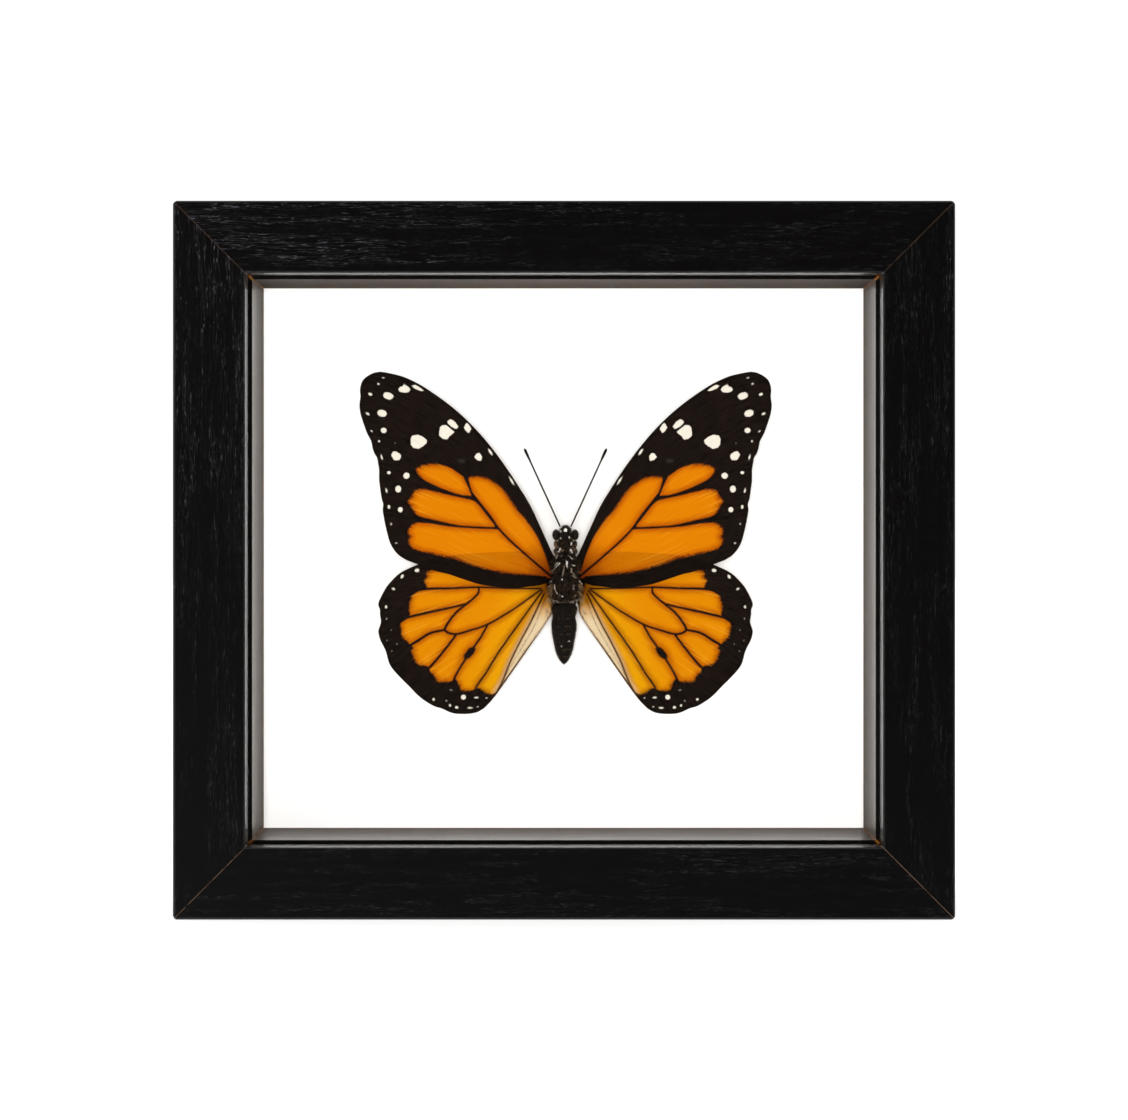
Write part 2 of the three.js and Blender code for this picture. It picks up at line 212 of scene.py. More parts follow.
def from_mitre_line(add, spot, offset):
    """Distance to the nearest of the four mitre lines, on which x exceeds the height by an offset."""
    across = add("Math", spot.outputs["X"], operation="ABSOLUTE")
    from_middle = add("Math", spot.outputs["Z"], middle_z * MM, operation="SUBTRACT")
    upright = add("Math", from_middle, operation="ABSOLUTE")
    beside = add("Math", across, upright, operation="SUBTRACT")
    mitre_side = add("Math", beside, offset * MM, operation="SUBTRACT")
    return add("Math", mitre_side, operation="ABSOLUTE")


def ebonised_wood(name, grain_axis):
    """Open-grained wood under black stain, satin: nearly black, with painted glints as short grey marks along
    the grain lines, strongest at the top left as if lit from there, a soft sheen on eased edges, and brown
    wood at the mitres."""
    material, add, shader = new_material(
        name, Roughness=0.32, Specular_IOR_Level=0.2, Coat_Weight=0.3, Coat_Roughness=0.18)
    place = add("TexCoord").outputs["Object"]
    spot = add("SeparateXYZ", place)
    # On the face the grain lines carry painted glints, faint over most of it and strongest at the top left
    # corner, as if light fell from there; the grain's relief follows the same share.
    leftwards = add("MapRange", spot.outputs["X"], frame_high.x * MM, frame_low.x * MM)
    upwards = add("MapRange", spot.outputs["Z"], frame_low.z * MM, frame_high.z * MM)
    corner_share = add("Math", leftwards, upwards, operation="ADD")
    face_glint_strength = add("MapRange", corner_share, 1.5, 1.95, 0.2, 1.0)
    # On the sides the grain lines, their relief and their painted glints show all over.
    side_glint_strength = add("MapRange", spot.outputs["Y"], (front_y + 0.8) * MM, (front_y + 3) * MM)
    glint_strength = add("Math", face_glint_strength, side_glint_strength, operation="MAXIMUM")
    # Slow waves bend the grain lines sideways by less than a millimetre.
    wave_length, wave_reach = 9 * MM, 0.9 * MM
    waves = add("TexNoise", place, Scale=1 / wave_length, Detail=1.0)
    centred = add("VectorMath", waves.outputs["Color"], (0.5, 0.5, 0.5), operation="SUBTRACT")
    swing = add("VectorMath", centred, wave_reach, operation="SCALE")
    bent = add("VectorMath", place, swing, operation="ADD")
    # Grain lines are the level lines of a stretched noise. They lie in bands and break up into pores.
    line_place = add("Mapping", bent, Scale=along_grain(0.5, 9, grain_axis))
    pore_place = add("Mapping", bent, Scale=along_grain(0.35, 1.2, grain_axis))
    band_place = add("Mapping", bent, Scale=along_grain(1.5, 22, grain_axis))
    figure = add("TexNoise", line_place, Scale=1.0, Detail=2.0, Roughness=0.6)
    pores = add("TexNoise", pore_place, Scale=1.0, Detail=1.5)
    bands = add("TexNoise", band_place, Scale=1.0, Detail=2.0)
    from_level = add("Math", figure, 0.5, operation="SUBTRACT")
    off_line = add("Math", from_level, operation="ABSOLUTE")
    line = add("MapRange", off_line, 0.002, 0.026, 1.0, 0.0)
    broken = add("MapRange", pores, 0.47, 0.66)
    open_grain = add("MapRange", bands, 0.42, 0.66, 0.1, 1.0)
    grain_and_glint_share = add("Math", open_grain, glint_strength, operation="MULTIPLY")
    ridges = add("Math", line, grain_and_glint_share, operation="MULTIPLY")
    # Painted glints: the grain lines turn pale grey where they would catch light.
    light = add("Math", ridges, broken, operation="MULTIPLY")
    stained_with_glints = add("Mix", light, "#040303", "#54555c", data_type="RGBA")
    from_mitre = from_mitre_line(add, spot, (frame_width - frame_height) / 2)
    hairline = add("MapRange", from_mitre, 0.015 * MM, 0.09 * MM, 1.0, 0.0)
    # The stain has worn off the mitres most at the bottom.
    bareness = add("MapRange", upwards, 0.2, 0.8, 0.9, 0.35)
    wear = add("TexNoise", place, Scale=1 / (1.5 * MM), Detail=2.0)
    wear_share = add("MapRange", wear, 0.25, 0.5)
    worn_line = add("Math", hairline, wear_share, operation="MULTIPLY")
    worn = add("Math", worn_line, bareness, operation="MULTIPLY")
    colour = add("Mix", worn, stained_with_glints, "#6d5745", data_type="RGBA")
    relief = add("Bump", Height=ridges, Strength=0.6, Distance=0.1 * MM)
    feed(shader, Base_Color=colour, Normal=relief)
    return material


def black_strip(name, grain_axis, dullness):
    """Planed strip under thin black paint: satin at the glass and dull at the board, so it mirrors the
    white board at a slant and looks grey; brown wood shows at corners and along the board."""
    material, add, shader = new_material(name, Specular_IOR_Level=0.42, Specular_Tint="#fff1e2")
    place = add("TexCoord").outputs["Object"]
    spot = add("SeparateXYZ", place)
    inwards = spot.outputs["Y"]
    from_corner = from_mitre_line(add, spot, spacer_x - spacer_z)
    corner = add("MapRange", from_corner, 0.1 * MM, 0.45 * MM, 1.0, 0.0)
    foot = add("MapRange", inwards, (board_front - 1.4) * MM, board_front * MM)
    edge = add("Math", corner, foot, operation="MAXIMUM")
    patches = add("TexNoise", place, Scale=1 / (3 * MM), Detail=3.0)
    share = add("MapRange", patches, 0.25, 0.55)
    worn = add("Math", edge, share, operation="MULTIPLY")
    grain_place = add("Mapping", place, Scale=along_grain(0.5, 9, grain_axis))
    grain = add("TexNoise", grain_place, Scale=1.0, Detail=2.0)
    thin_paint = add("Mix", grain, "#1c130c", "#463220", data_type="RGBA")
    # The paint is full at the face towards the glass and thin on the wall behind it.
    behind_face = add("MapRange", inwards, (strip_front + 0.1) * MM, (strip_front + 0.5) * MM)
    painted = add("Mix", behind_face, "#070605", thin_paint, data_type="RGBA")
    colour = add("Mix", worn, painted, "#7a4a18", data_type="RGBA")
    duller = add("MapRange", inwards, strip_front * MM, board_front * MM, dullness, dullness + 0.42)
    dull = add("Math", grain, 0.3, duller, operation="MULTIPLY_ADD")
    relief = add("Bump", Height=grain, Strength=0.4, Distance=0.06 * MM)
    feed(shader, Base_Color=colour, Roughness=dull, Normal=relief)
    return material


def white_board():
    """Paper-faced mount board: matte warm white with a faint felt tooth."""
    material, add, shader = new_material(
        "white paper-faced mount board", Roughness=0.9, Specular_IOR_Level=0.2, Base_Color="#fcfcfa")
    tooth = add("TexNoise", add("TexCoord").outputs["Object"], Scale=1 / (0.6 * MM), Detail=3.0)
    feed(shader, Normal=add("Bump", Height=tooth, Strength=0.08, Distance=0.05 * MM))
    return material


def pressed_hardboard():
    """Brown pressed fibre board: matte, with pale and dark fibre flecks and broad darker clouds."""
    material, add, shader = new_material("brown pressed hardboard", Roughness=0.75, Specular_IOR_Level=0.3)
    place = add("TexCoord").outputs["Object"]
    flecks = add("TexNoise", place, Scale=1 / (1.1 * MM), Detail=8.0, Roughness=0.75, Distortion=1.5)
    fleck_share = add("MapRange", flecks, 0.3, 0.7)
    fibres = add("Mix", fleck_share, "#4a3220", "#7c5a3b", data_type="RGBA")
    clouds = add("TexNoise", place, Scale=1 / (25 * MM), Detail=3.0)
    cloud_share = add("MapRange", clouds, 0.35, 0.65, 0.0, 0.3)
    colour = add("Mix", cloud_share, fibres, "#3a2617", data_type="RGBA")
    relief = add("Bump", Height=flecks, Strength=0.3, Distance=0.1 * MM)
    feed(shader, Base_Color=colour, Normal=relief)
    return material


def clear_glass():
    """Float glass: colourless, with sharp reflections. Lamp light and light that the board and the
    specimen scatter pass straight through."""
    material, add, shader = new_material(
        "clear float glass", Roughness=0.0, IOR=1.5, Transmission_Weight=1.0, Base_Color="#ffffff")
    ray = add("LightPath").outputs
    passing = add("Math", ray["Is Shadow Ray"], ray["Is Diffuse Ray"], operation="MAXIMUM")
    pane = add("MixShader", passing, shader, add("BsdfTransparent"))
    feed(material.node_tree.nodes["Material Output"], Surface=pane)
    return material


# What a wing's mesh keeps at each point for its material. Depths and gaps are in millimetres.
wing_marks = ("orange_depth", "vein_gap", "spot_depth", "spot_tone", "buff", "gold", "painted_shade")


def wing_scales(name, deep, gold_deep, bright, gold, fold_highlight, dark, dark_light, pale, buff_colour):
    """Dusty wing scales: matte orange cells, more golden near the body, with soft ragged ends between
    smooth near-black veins and borders, and cream spots, drawn from the marks on the mesh."""
    material, add, shader = new_material(name, Roughness=0.85, Specular_IOR_Level=0.03)
    mark = {key: add("Attribute", attribute_name=key).outputs["Fac"] for key in wing_marks}
    place = add("TexCoord").outputs
    # Scales are 0.1 mm long and too fine to show, so they are drawn as 0.24 mm grains.
    grain = add("TexNoise", place["Object"], Scale=1 / (0.24 * MM), Detail=2.0)
    # Streaks run from the wing root to the margin, about 200 of them across a wing.
    rays = add("Mapping", place["UV"], Scale=(14.0, 200.0, 1.0))
    streaks = add("TexNoise", rays, Scale=1.0, Detail=2.0)
    folds = add("Mapping", place["UV"], Scale=(3.0, 75.0, 1.0))
    fold_noise = add("TexNoise", folds, Scale=1.0, Detail=1.0)
    both = add("Math", grain, streaks, operation="ADD")
    # Ends of the orange cells are ragged, but the scales along a vein make an even edge.
    beside_vein, off_vein = 0.35, 1.3
    looseness = add("MapRange", mark["vein_gap"], beside_vein, off_vein, 0.1, 1.0)
    softness = add("MapRange", mark["vein_gap"], beside_vein, off_vein, 0.14, 0.34)
    jitter = add("MapRange", both, 0.6, 1.4, -0.36, 0.36)
    ragged = add("Math", jitter, looseness, operation="MULTIPLY")
    orange_edge = add("Math", mark["orange_depth"], ragged, operation="ADD")
    edge_share = add("Math", orange_edge, softness, operation="DIVIDE")
    orange_share = add("MapRange", edge_share, -1.0, 1.0, interpolation_type="SMOOTHSTEP")
    glow = add("MapRange", orange_edge, 0.0, 1.3, interpolation_type="SMOOTHSTEP")
    middle_colour = add("Mix", mark["gold"], bright, gold, data_type="RGBA")
    edge_colour = add("Mix", mark["gold"], deep, gold_deep, data_type="RGBA")
    orange_colour = add("Mix", glow, edge_colour, middle_colour, data_type="RGBA")
    # Painted highlight: folds between the veins are lighter along their ridges, as if they caught a little
    # more light.
    fold_light = add("MapRange", fold_noise, 0.58, 0.7, 0.0, 0.4)
    with_fold_highlights = add("Mix", fold_light, orange_colour, fold_highlight, data_type="RGBA")
    streak_shade = add("MapRange", streaks, 0.3, 0.55, 0.16, 0.0)
    dusty = add("Mix", streak_shade, with_fold_highlights, edge_colour, data_type="RGBA")
    with_buff = add("Mix", mark["buff"], dusty, buff_colour, data_type="RGBA")
    dark_share = add("MapRange", streaks, 0.35, 0.72)
    streaked = add("Mix", dark_share, dark, dark_light, data_type="RGBA")
    # The veins of the thin buff margin are brown.
    dark_colour = add("Mix", mark["buff"], streaked, "#4a2f1a", data_type="RGBA")
    ground = add("Mix", orange_share, dark_colour, with_buff, data_type="RGBA")
    spot_ragged = add("Math", jitter, 0.22, mark["spot_depth"], operation="MULTIPLY_ADD")
    spot_share = add("MapRange", spot_ragged, -0.05, 0.12, interpolation_type="SMOOTHSTEP")
    spot_strength = add("Math", spot_share, mark["spot_tone"], operation="MULTIPLY")
    spotted = add("Mix", spot_strength, ground, pale, data_type="RGBA")
    # Painted shade: darker at the thick root and where the other wing lies behind, as less light comes
    # through there.
    colour = add("Mix", mark["painted_shade"], spotted, "#8a6c4c", data_type="RGBA", blend_type="MULTIPLY")
    relief = add("Bump", Height=both, Strength=0.3, Distance=0.05 * MM)
    feed(shader, Base_Color=colour, Normal=relief)
    return material


def mottled(name, patch, detail, spread, colours, strength, depth, dullness=None, **sockets):
    """A surface of two colours in soft patches of one size, which also make its relief. The spread says
    between which values of the noise one colour gives way to the other."""
    material, add, shader = new_material(name, **sockets)
    patches = add("TexNoise", add("TexCoord").outputs["Object"], Scale=1 / (patch * MM), Detail=detail)
    colour = add("Mix", add("MapRange", patches, *spread), *colours, data_type="RGBA")
    relief = add("Bump", Height=patches, Strength=strength, Distance=depth * MM)
    feed(shader, Base_Color=colour, Normal=relief)
    if dullness:
        feed(shader, Roughness=add("MapRange", patches, 0.3, 0.7, *dullness))
    return material


def body_hair():
    """Fine insect hair: each hair black, tan or white by the tone from 0 to 1 kept on it."""
    material, add, shader = new_material("fine insect hair", Roughness=0.6, Specular_IOR_Level=0.06)
    tone = add("Attribute", attribute_name="hair_tone").outputs["Fac"]
    tanned = add("Mix", add("MapRange", tone, 0.0, 0.5), "#070605", "#8c6f4c", data_type="RGBA")
    colour = add("Mix", add("MapRange", tone, 0.5, 1.0), tanned, "#dedad2", data_type="RGBA")
    feed(shader, Base_Color=colour)
    return material


def dried_eye():
    """Dried compound eye: dark brown and glossy, with a net of facets."""
    material, add, shader = new_material("dried compound eye", Roughness=0.34, Specular_IOR_Level=0.22)
    # Real facets are 0.03 mm wide and too fine to show, so they are drawn 0.12 mm wide.
    facets = add("TexVoronoi", add("TexCoord").outputs["Object"], Scale=1 / (0.12 * MM))
    colour = add("Mix", facets, "#1c1410", "#080605", data_type="RGBA")
    relief = add("Bump", Height=facets, Strength=0.3, Distance=0.03 * MM, invert=True)
    feed(shader, Base_Color=colour, Normal=relief)
    return material


lying_wood = ebonised_wood("ebonised open-grain wood, lying rails", 0)
standing_wood = ebonised_wood("ebonised open-grain wood, standing rails", 2)
standing_strip = black_strip("black painted strip wood, standing", 2, 0.18)
strip_woods = {
    "top": black_strip("black painted strip wood, top", 0, 0.53),
    "bottom": black_strip("black painted strip wood, bottom", 0, 0.15),
    "left": standing_strip,
    "right": standing_strip,
}
# Zinc-plated steel: pale grey metal whose soft shine varies in faint cloudy patches.
zinc_steel = mottled(
    "zinc plated steel", patch=1.6, detail=4.0, spread=(0.0, 1.0), colours=("#8f9297", "#c6c9cc"),
    strength=0.15, depth=0.05, dullness=(0.28, 0.5), Metallic=1.0)
# Insect shell: black and lumpy, with small sharp glints where it is bare of hair.
shell = mottled(
    "black insect shell", patch=0.7, detail=3.0, spread=(0.0, 1.0), colours=("#050404", "#120e0c"),
    strength=0.7, depth=0.25, Roughness=0.5, Specular_IOR_Level=0.12)
# Scaled collar lobes behind the head: brown with tan patches, satin.
lobes = mottled(
    "brown scaled collar lobes", patch=0.6, detail=2.0, spread=(0.42, 0.66), colours=("#0a0705", "#664a2a"),
    strength=0.4, depth=0.1, Roughness=0.45, Specular_IOR_Level=0.4)
# Patches of white scales on the body: matte and chalky, greyer between the scales.
white_scales = mottled(
    "white scale patches", patch=0.15, detail=2.0, spread=(0.0, 1.0), colours=("#a8a299", "#e9e5dc"),
    strength=0.5, depth=0.05, Roughness=0.85, Specular_IOR_Level=0.1)
eye_shine = dried_eye()
hair = body_hair()
upper_scales = wing_scales(
    "monarch wing scales, upper side", deep="#9a4700", gold_deep="#965f04", bright="#b66800", gold="#bf8602",
    fold_highlight="#c98a22", dark="#070504", dark_light="#1d140e", pale="#c6bfb1", buff_colour="#bca885")
under_scales = wing_scales(
    "monarch wing scales, underside", deep="#b07a38", gold_deep="#bd9050", bright="#c99c60", gold="#d0a870",
    fold_highlight="#d8b684", dark="#241c17", dark_light="#42352b", pale="#ded9ce", buff_colour="#d6c6a6")


# Frame

def make_rail(name, length, reach, turn, wood):
    """A rail made as the bottom one: a wall block, a lip drawn inwards at its front, eased edges and
    mitred ends. It is then turned about the middle of the frame to its side."""
    rail = block((-length / 2, -frame_depth / 2, -reach), (length / 2, frame_depth / 2, rail_wall - reach))
    seat_y = (lip_depth - frame_depth / 2) * MM
    front = -frame_depth / 2 * MM
    bpy.ops.mesh.select_all(action="SELECT")
    bpy.ops.mesh.bisect(plane_co=(0, seat_y, 0), plane_no=(0, 1, 0))
    pick(rail, "FACE", lambda face: face.normal.z > 0.9 and face.calc_center_median().y < seat_y)
    bpy.ops.mesh.extrude_region_move(TRANSFORM_OT_translate={"value": (0, 0, (rail_face - rail_wall) * MM)})
    lip_z = (rail_face - reach) * MM
    outer_z = -reach * MM
    nearness = 1e-6

    def runs_along(edge, y, z):
        return all(abs(v.co.y - y) < nearness and abs(v.co.z - z) < nearness for v in edge.verts)

    pick(rail, "EDGE", lambda edge: runs_along(edge, front, lip_z))
    bpy.ops.mesh.bevel(offset=lip_radius * MM, segments=edge_steps, affect="EDGES")
    pick(rail, "EDGE", lambda edge: runs_along(edge, front, outer_z) or runs_along(edge, -front, outer_z))
    bpy.ops.mesh.bevel(offset=arris_radius * MM, segments=edge_steps, affect="EDGES")
    for side in sides.values():
        end = Vector((side * (length / 2 - mitre_gap), 0, -reach)) * MM
        bpy.ops.mesh.select_all(action="SELECT")
        bpy.ops.mesh.bisect(plane_co=end, plane_no=(side, 0, 1), use_fill=True, clear_outer=True)
        for angle in corner_cuts:
            way = Vector((side * math.cos(math.radians(angle)), 0, -math.sin(math.radians(angle))))
            centre = Vector((side * (length / 2 - corner_radius), 0, corner_radius - reach))
            bpy.ops.mesh.select_all(action="SELECT")
            bpy.ops.mesh.bisect(
                plane_co=(centre + way * corner_radius) * MM, plane_no=way, use_fill=True, clear_outer=True)
    bpy.ops.object.mode_set(mode="OBJECT")
    rail.rotation_euler = (0, math.radians(turn), 0)
    rail.location = (0, (frame_low.y + frame_high.y) / 2 * MM, middle_z * MM)
    settle()
    return finish(rail, name + "_rail", "frame_wood", [wood], "frame_" + name)


make_rail("bottom", frame_width, frame_height / 2, 0, lying_wood)
make_rail("left", frame_height, frame_width / 2, 90, standing_wood)
make_rail("top", frame_width, frame_height / 2, 180, lying_wood)
make_rail("right", frame_height, frame_width / 2, 270, standing_wood)


def slab(name, slot, material, ease, node_name):
    """A sheet or strip at its CAD node's place with all edges eased."""
    piece = block(*size_of(node_name))
    bpy.ops.mesh.select_all(action="SELECT")
    bpy.ops.mesh.bevel(offset=ease * MM, segments=2, affect="EDGES")
    bpy.ops.object.mode_set(mode="OBJECT")
    return finish(piece, name, slot, [material], node_name)


slab("pane", "glass", clear_glass(), 0.15, "glass")
slab("board", "mount_board", white_board(), 0.1, "mount_board")
slab("hardboard_panel", "hardboard", pressed_hardboard(), 0.25, "back_panel")
for side_name, strip_wood in strip_woods.items():
    slab(side_name + "_strip", "spacer_strip", strip_wood, 0.08, "spacer_" + side_name)

for node_name, cad_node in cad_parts.items():
    if node_name.startswith(("framer_point", "hanger", "pin")):
        cad_node.data.materials.clear()
        cad_node.data.materials.append(zinc_steel)


# Wings. Points are (outwards from the body axis, up from the thorax centre) for the left side.

forewing_lead = [
    (1.8, 3.6), (2.6, 4.9), (3.7, 7.3), (5.2, 10.6), (6.9, 14.2), (9.1, 17.8), (11.4, 21.3),
    (13.8, 24.6), (16.5, 27.9), (19.5, 31.0), (22.5, 33.6), (25.5, 35.8), (28.5, 37.7), (31.5, 39.1),
    (34.2, 39.8), (36.0, 40.1),
]
forewing_margin = [
    (36.0, 40.1), (37.4, 39.8), (38.9, 38.9), (39.6, 37.9), (39.9, 36.5), (39.8, 35.3), (40.0, 33.6),
    (39.8, 32.0), (39.4, 30.6), (38.6, 28.3), (38.2, 27.5), (37.7, 26.5), (37.5, 25.4), (37.1, 24.2),
    (36.6, 23.4), (36.4, 22.3), (36.2, 21.1), (36.2, 19.1), (36.0, 17.4), (35.7, 15.4), (35.4, 14.4),
    (35.5, 13.3), (35.3, 11.9), (35.0, 10.3), (34.6, 8.6), (34.2, 7.2), (33.7, 6.1), (33.0, 5.1),
    (32.2, 4.3), (30.9, 3.5),
]
forewing_trail = [
    (2.0, 0.4), (4.3, -1.2), (7.3, -1.7), (10.6, -2.0), (13.6, -1.7), (16.7, -1.2), (19.6, -0.3),
    (22.5, 0.7), (25.3, 1.4), (28.8, 2.7), (30.9, 3.5),
]
forewing_cells = [
    [
        (18.8, 19.4), (17.9, 19.6), (16.7, 19.6), (15.3, 19.3), (13.6, 18.3), (12.4, 17.3), (10.6, 14.8),
        (9.1, 12.7), (7.7, 11.2), (5.7, 8.3), (4.6, 6.0), (3.9, 4.2), (3.3, 2.3), (2.9, 0.7), (5.5, 2.5),
        (9.1, 5.9), (12.4, 9.2), (14.7, 12.4), (17.1, 15.4), (18.3, 17.2),
    ],
    [
        (28.8, 21.2), (27.6, 21.8), (25.5, 22.1), (23.1, 21.7), (21.0, 20.6), (19.6, 19.4), (18.9, 17.8),
        (18.3, 16.1), (20.8, 16.3), (23.1, 17.0), (26.1, 18.4), (27.6, 19.2), (28.7, 20.4),
    ],
    [
        (30.5, 14.9), (29.8, 15.8), (29.1, 16.9), (27.3, 17.2), (24.9, 16.7), (22.0, 16.0), (19.2, 15.4),
        (17.5, 14.8), (15.7, 12.7), (13.8, 10.0), (17.1, 10.0), (21.4, 10.4), (24.9, 11.2), (27.9, 11.9),
        (29.1, 12.5), (29.8, 13.9),
    ],
    [
        (30.6, 8.8), (30.0, 10.0), (29.2, 10.6), (27.3, 10.7), (23.1, 10.2), (18.3, 9.7), (13.6, 9.6),
        (11.1, 7.4), (8.0, 4.6), (2.9, 0.25), (5.2, 0.5), (8.8, 0.8), (12.4, 1.2), (15.3, 1.8), (17.7, 2.5),
        (19.6, 3.1), (21.4, 3.9), (24.9, 4.6), (27.9, 5.3), (29.6, 5.9), (30.2, 6.6), (30.4, 7.6),
        (29.9, 8.0),
    ],
]
forewing_veins = [
    [
        (2.8, 0.3), (8.6, 5.3), (11.8, 8.3), (14.2, 11.1), (16.5, 14.1), (18.1, 16.2), (19.0, 18.3),
        (20.4, 21.1),
    ],
    [(18.1, 15.8), (20.8, 16.1), (24.5, 17.4), (27.6, 18.7), (31.3, 20.3), (36.2, 21.9)],
    [(13.4, 9.7), (18.3, 9.9), (23.1, 10.3), (27.4, 11.2), (31.3, 12.1), (35.4, 13.1)],
    [(20.4, 21.1), (24.5, 25.0), (29.4, 30.8), (35.2, 36.1), (39.5, 38.5)],
    [(19.8, 19.9), (24.5, 23.2), (30.0, 26.9), (34.3, 30.1), (39.7, 32.2)],
    [(3.0, 3.1), (5.0, 8.2), (8.7, 15.8), (14.3, 24.4), (21.2, 32.0), (28.4, 37.1), (33.9, 39.2)],
    [(4.0, 0.2), (10.8, -0.6), (18.6, 1.0), (26.4, 3.5), (33.1, 5.5)],
]
# Blocky spots as outlines, small ones as (out, up, width, height, turn in degrees, tone).
forewing_blocks = [
    [
        (32.5, 36.5), (32.3, 37.1), (31.6, 37.3), (31.5, 37.8), (30.5, 37.2), (30.1, 36.6), (30.5, 36.1),
        (31.4, 36.0), (32.2, 36.2),
    ],
    [(29.9, 37.4), (29.2, 37.6), (28.2, 37.0), (27.5, 36.4), (28.0, 36.3), (29.4, 36.8)],
    [
        (33.9, 24.0), (33.4, 24.7), (32.8, 24.6), (32.0, 24.0), (31.9, 23.5), (32.3, 22.9), (33.3, 22.9),
        (33.7, 23.5),
    ],
    [
        (30.1, 27.1), (29.8, 27.7), (28.8, 27.9), (27.7, 27.5), (26.9, 26.8), (27.0, 26.2), (27.7, 25.6),
        (28.6, 25.1), (29.6, 25.3), (30.1, 26.0),
    ],
    [
        (24.4, 29.3), (24.1, 29.7), (23.3, 29.8), (22.4, 29.1), (21.5, 28.4), (22.0, 28.0), (22.5, 27.6),
        (23.0, 26.9), (23.9, 27.1), (24.6, 27.7), (24.6, 28.5),
    ],
    [
        (23.0, 30.5), (22.5, 30.9), (22.2, 30.9), (21.4, 30.3), (20.8, 29.5), (21.2, 28.9), (22.2, 29.4),
        (22.9, 30.0),
    ],
    [(19.8, 29.3), (19.3, 30.2), (18.9, 30.0), (18.3, 29.0), (18.8, 28.1), (19.4, 28.6)],
    [(17.8, 23.5), (17.3, 24.3), (16.7, 24.4), (16.2, 23.6), (16.4, 22.7), (17.1, 22.9)],
]
forewing_ovals = [
    (35.4, 38.9, 0.6, 0.4, 20, 1.0), (36.3, 37.7, 0.7, 0.4, 25, 1.0), (37.9, 35.7, 0.9, 0.6, 30, 1.0),
    (38.4, 31.9, 0.9, 0.5, 25, 1.0), (37.6, 28.5, 0.7, 0.3, 45, 1.0), (36.2, 26.6, 0.5, 0.5, 0, 1.0),
    (35.7, 23.5, 0.4, 1.2, -15, 1.0), (33.1, 26.2, 0.3, 0.3, 0, 0.8), (34.4, 35.4, 2.1, 1.4, 15, 1.0),
    (35.6, 32.0, 1.9, 1.4, 15, 1.0), (35.3, 28.7, 1.2, 1.1, 10, 1.0), (34.3, 20.5, 0.8, 0.7, 0, 1.0),
    (30.9, 19.9, 1.3, 1.2, 0, 1.0), (32.5, 17.3, 1.2, 1.4, 0, 1.0), (34.8, 17.0, 0.4, 1.0, -15, 1.0),
    (34.3, 13.8, 0.5, 0.9, 0, 1.0), (32.1, 13.3, 1.0, 1.1, 0, 1.0), (33.9, 10.5, 0.4, 0.5, 0, 0.7),
    (32.9, 6.8, 0.5, 0.4, 0, 0.7), (20.2, 22.8, 1.7, 0.9, 0, 0.02),
    (14.6, 24.5, 0.5, 1.6, -32, 1.0), (10.5, 18.9, 0.4, 2.0, -30, 1.0),
]
# The hindwing lies behind this stretch of the forewing.
overlap = [
    (21.6, 4.3), (16.7, 4.7), (10.8, 5.0), (6.9, 4.7), (3.8, 2.3), (3.8, -0.8), (10.6, -2.0),
    (16.7, -1.2), (22.5, 0.6), (28.8, 2.5),
]

hindwing_lead = [(2.0, -0.4), (4.4, 2.3), (6.9, 4.7), (12.8, 4.9), (20.2, 4.3), (24.5, 3.9), (28.8, 2.6)]
hindwing_margin = [
    (28.8, 2.6), (30.0, 2.1), (31.5, 1.4), (32.7, 0.6), (33.7, -0.4), (34.6, -1.4), (35.3, -2.5),
    (36.2, -4.3), (36.4, -5.3), (36.1, -6.1), (36.1, -7.0), (35.9, -8.4), (36.1, -9.3), (36.4, -10.3),
    (36.2, -11.5), (35.9, -12.3), (35.4, -13.3), (34.9, -14.4), (34.6, -15.6), (34.2, -16.8),
    (33.3, -18.1), (31.7, -19.8), (30.3, -21.2), (29.0, -22.6), (27.4, -23.9), (25.5, -25.0),
    (24.1, -25.4), (22.9, -26.0), (21.6, -26.4), (20.0, -26.5), (18.3, -26.4), (17.1, -26.1), (15.9, -25.4),
]
hindwing_inner = [
    (1.8, -3.2), (2.2, -4.5), (2.5, -5.6), (2.8, -7.2), (4.8, -10.3), (6.9, -13.3), (8.9, -16.2),
    (10.8, -18.9), (12.2, -20.9), (14.2, -23.6), (15.9, -25.4),
]
hindwing_field = [
    (26.1, 1.4), (26.8, 0.2), (27.4, -0.4), (27.2, -1.2), (26.9, -1.8), (27.6, -2.2), (28.8, -2.7),
    (29.8, -3.5), (30.1, -4.3), (30.4, -6.1), (30.2, -6.8), (30.5, -7.6), (31.1, -8.1), (31.7, -8.5),
    (32.1, -9.0), (31.8, -10.7), (31.6, -11.5), (30.7, -12.3), (30.0, -13.2), (29.4, -13.7),
    (30.0, -14.1), (29.6, -15.0), (28.8, -16.6), (26.8, -17.2), (26.3, -18.2), (25.7, -18.7),
    (25.1, -19.7), (24.5, -20.1), (22.5, -20.1), (21.4, -19.7), (20.6, -20.9), (20.2, -21.7),
    (18.4, -21.9), (17.0, -21.4), (16.1, -21.9), (15.5, -22.2), (14.2, -22.6), (12.9, -21.4),
    (10.8, -18.5), (8.3, -14.8), (5.8, -11.3), (4.2, -9.0), (3.0, -6.9), (2.9, -5.3), (3.4, -3.2),
    (4.0, -1.0), (6.9, 2.5), (16.7, 3.1),
]
anal_vein = [(4.2, -3.1), (6.8, -8.6), (8.9, -12.5), (10.8, -16.4), (12.2, -19.9), (13.6, -22.6)]
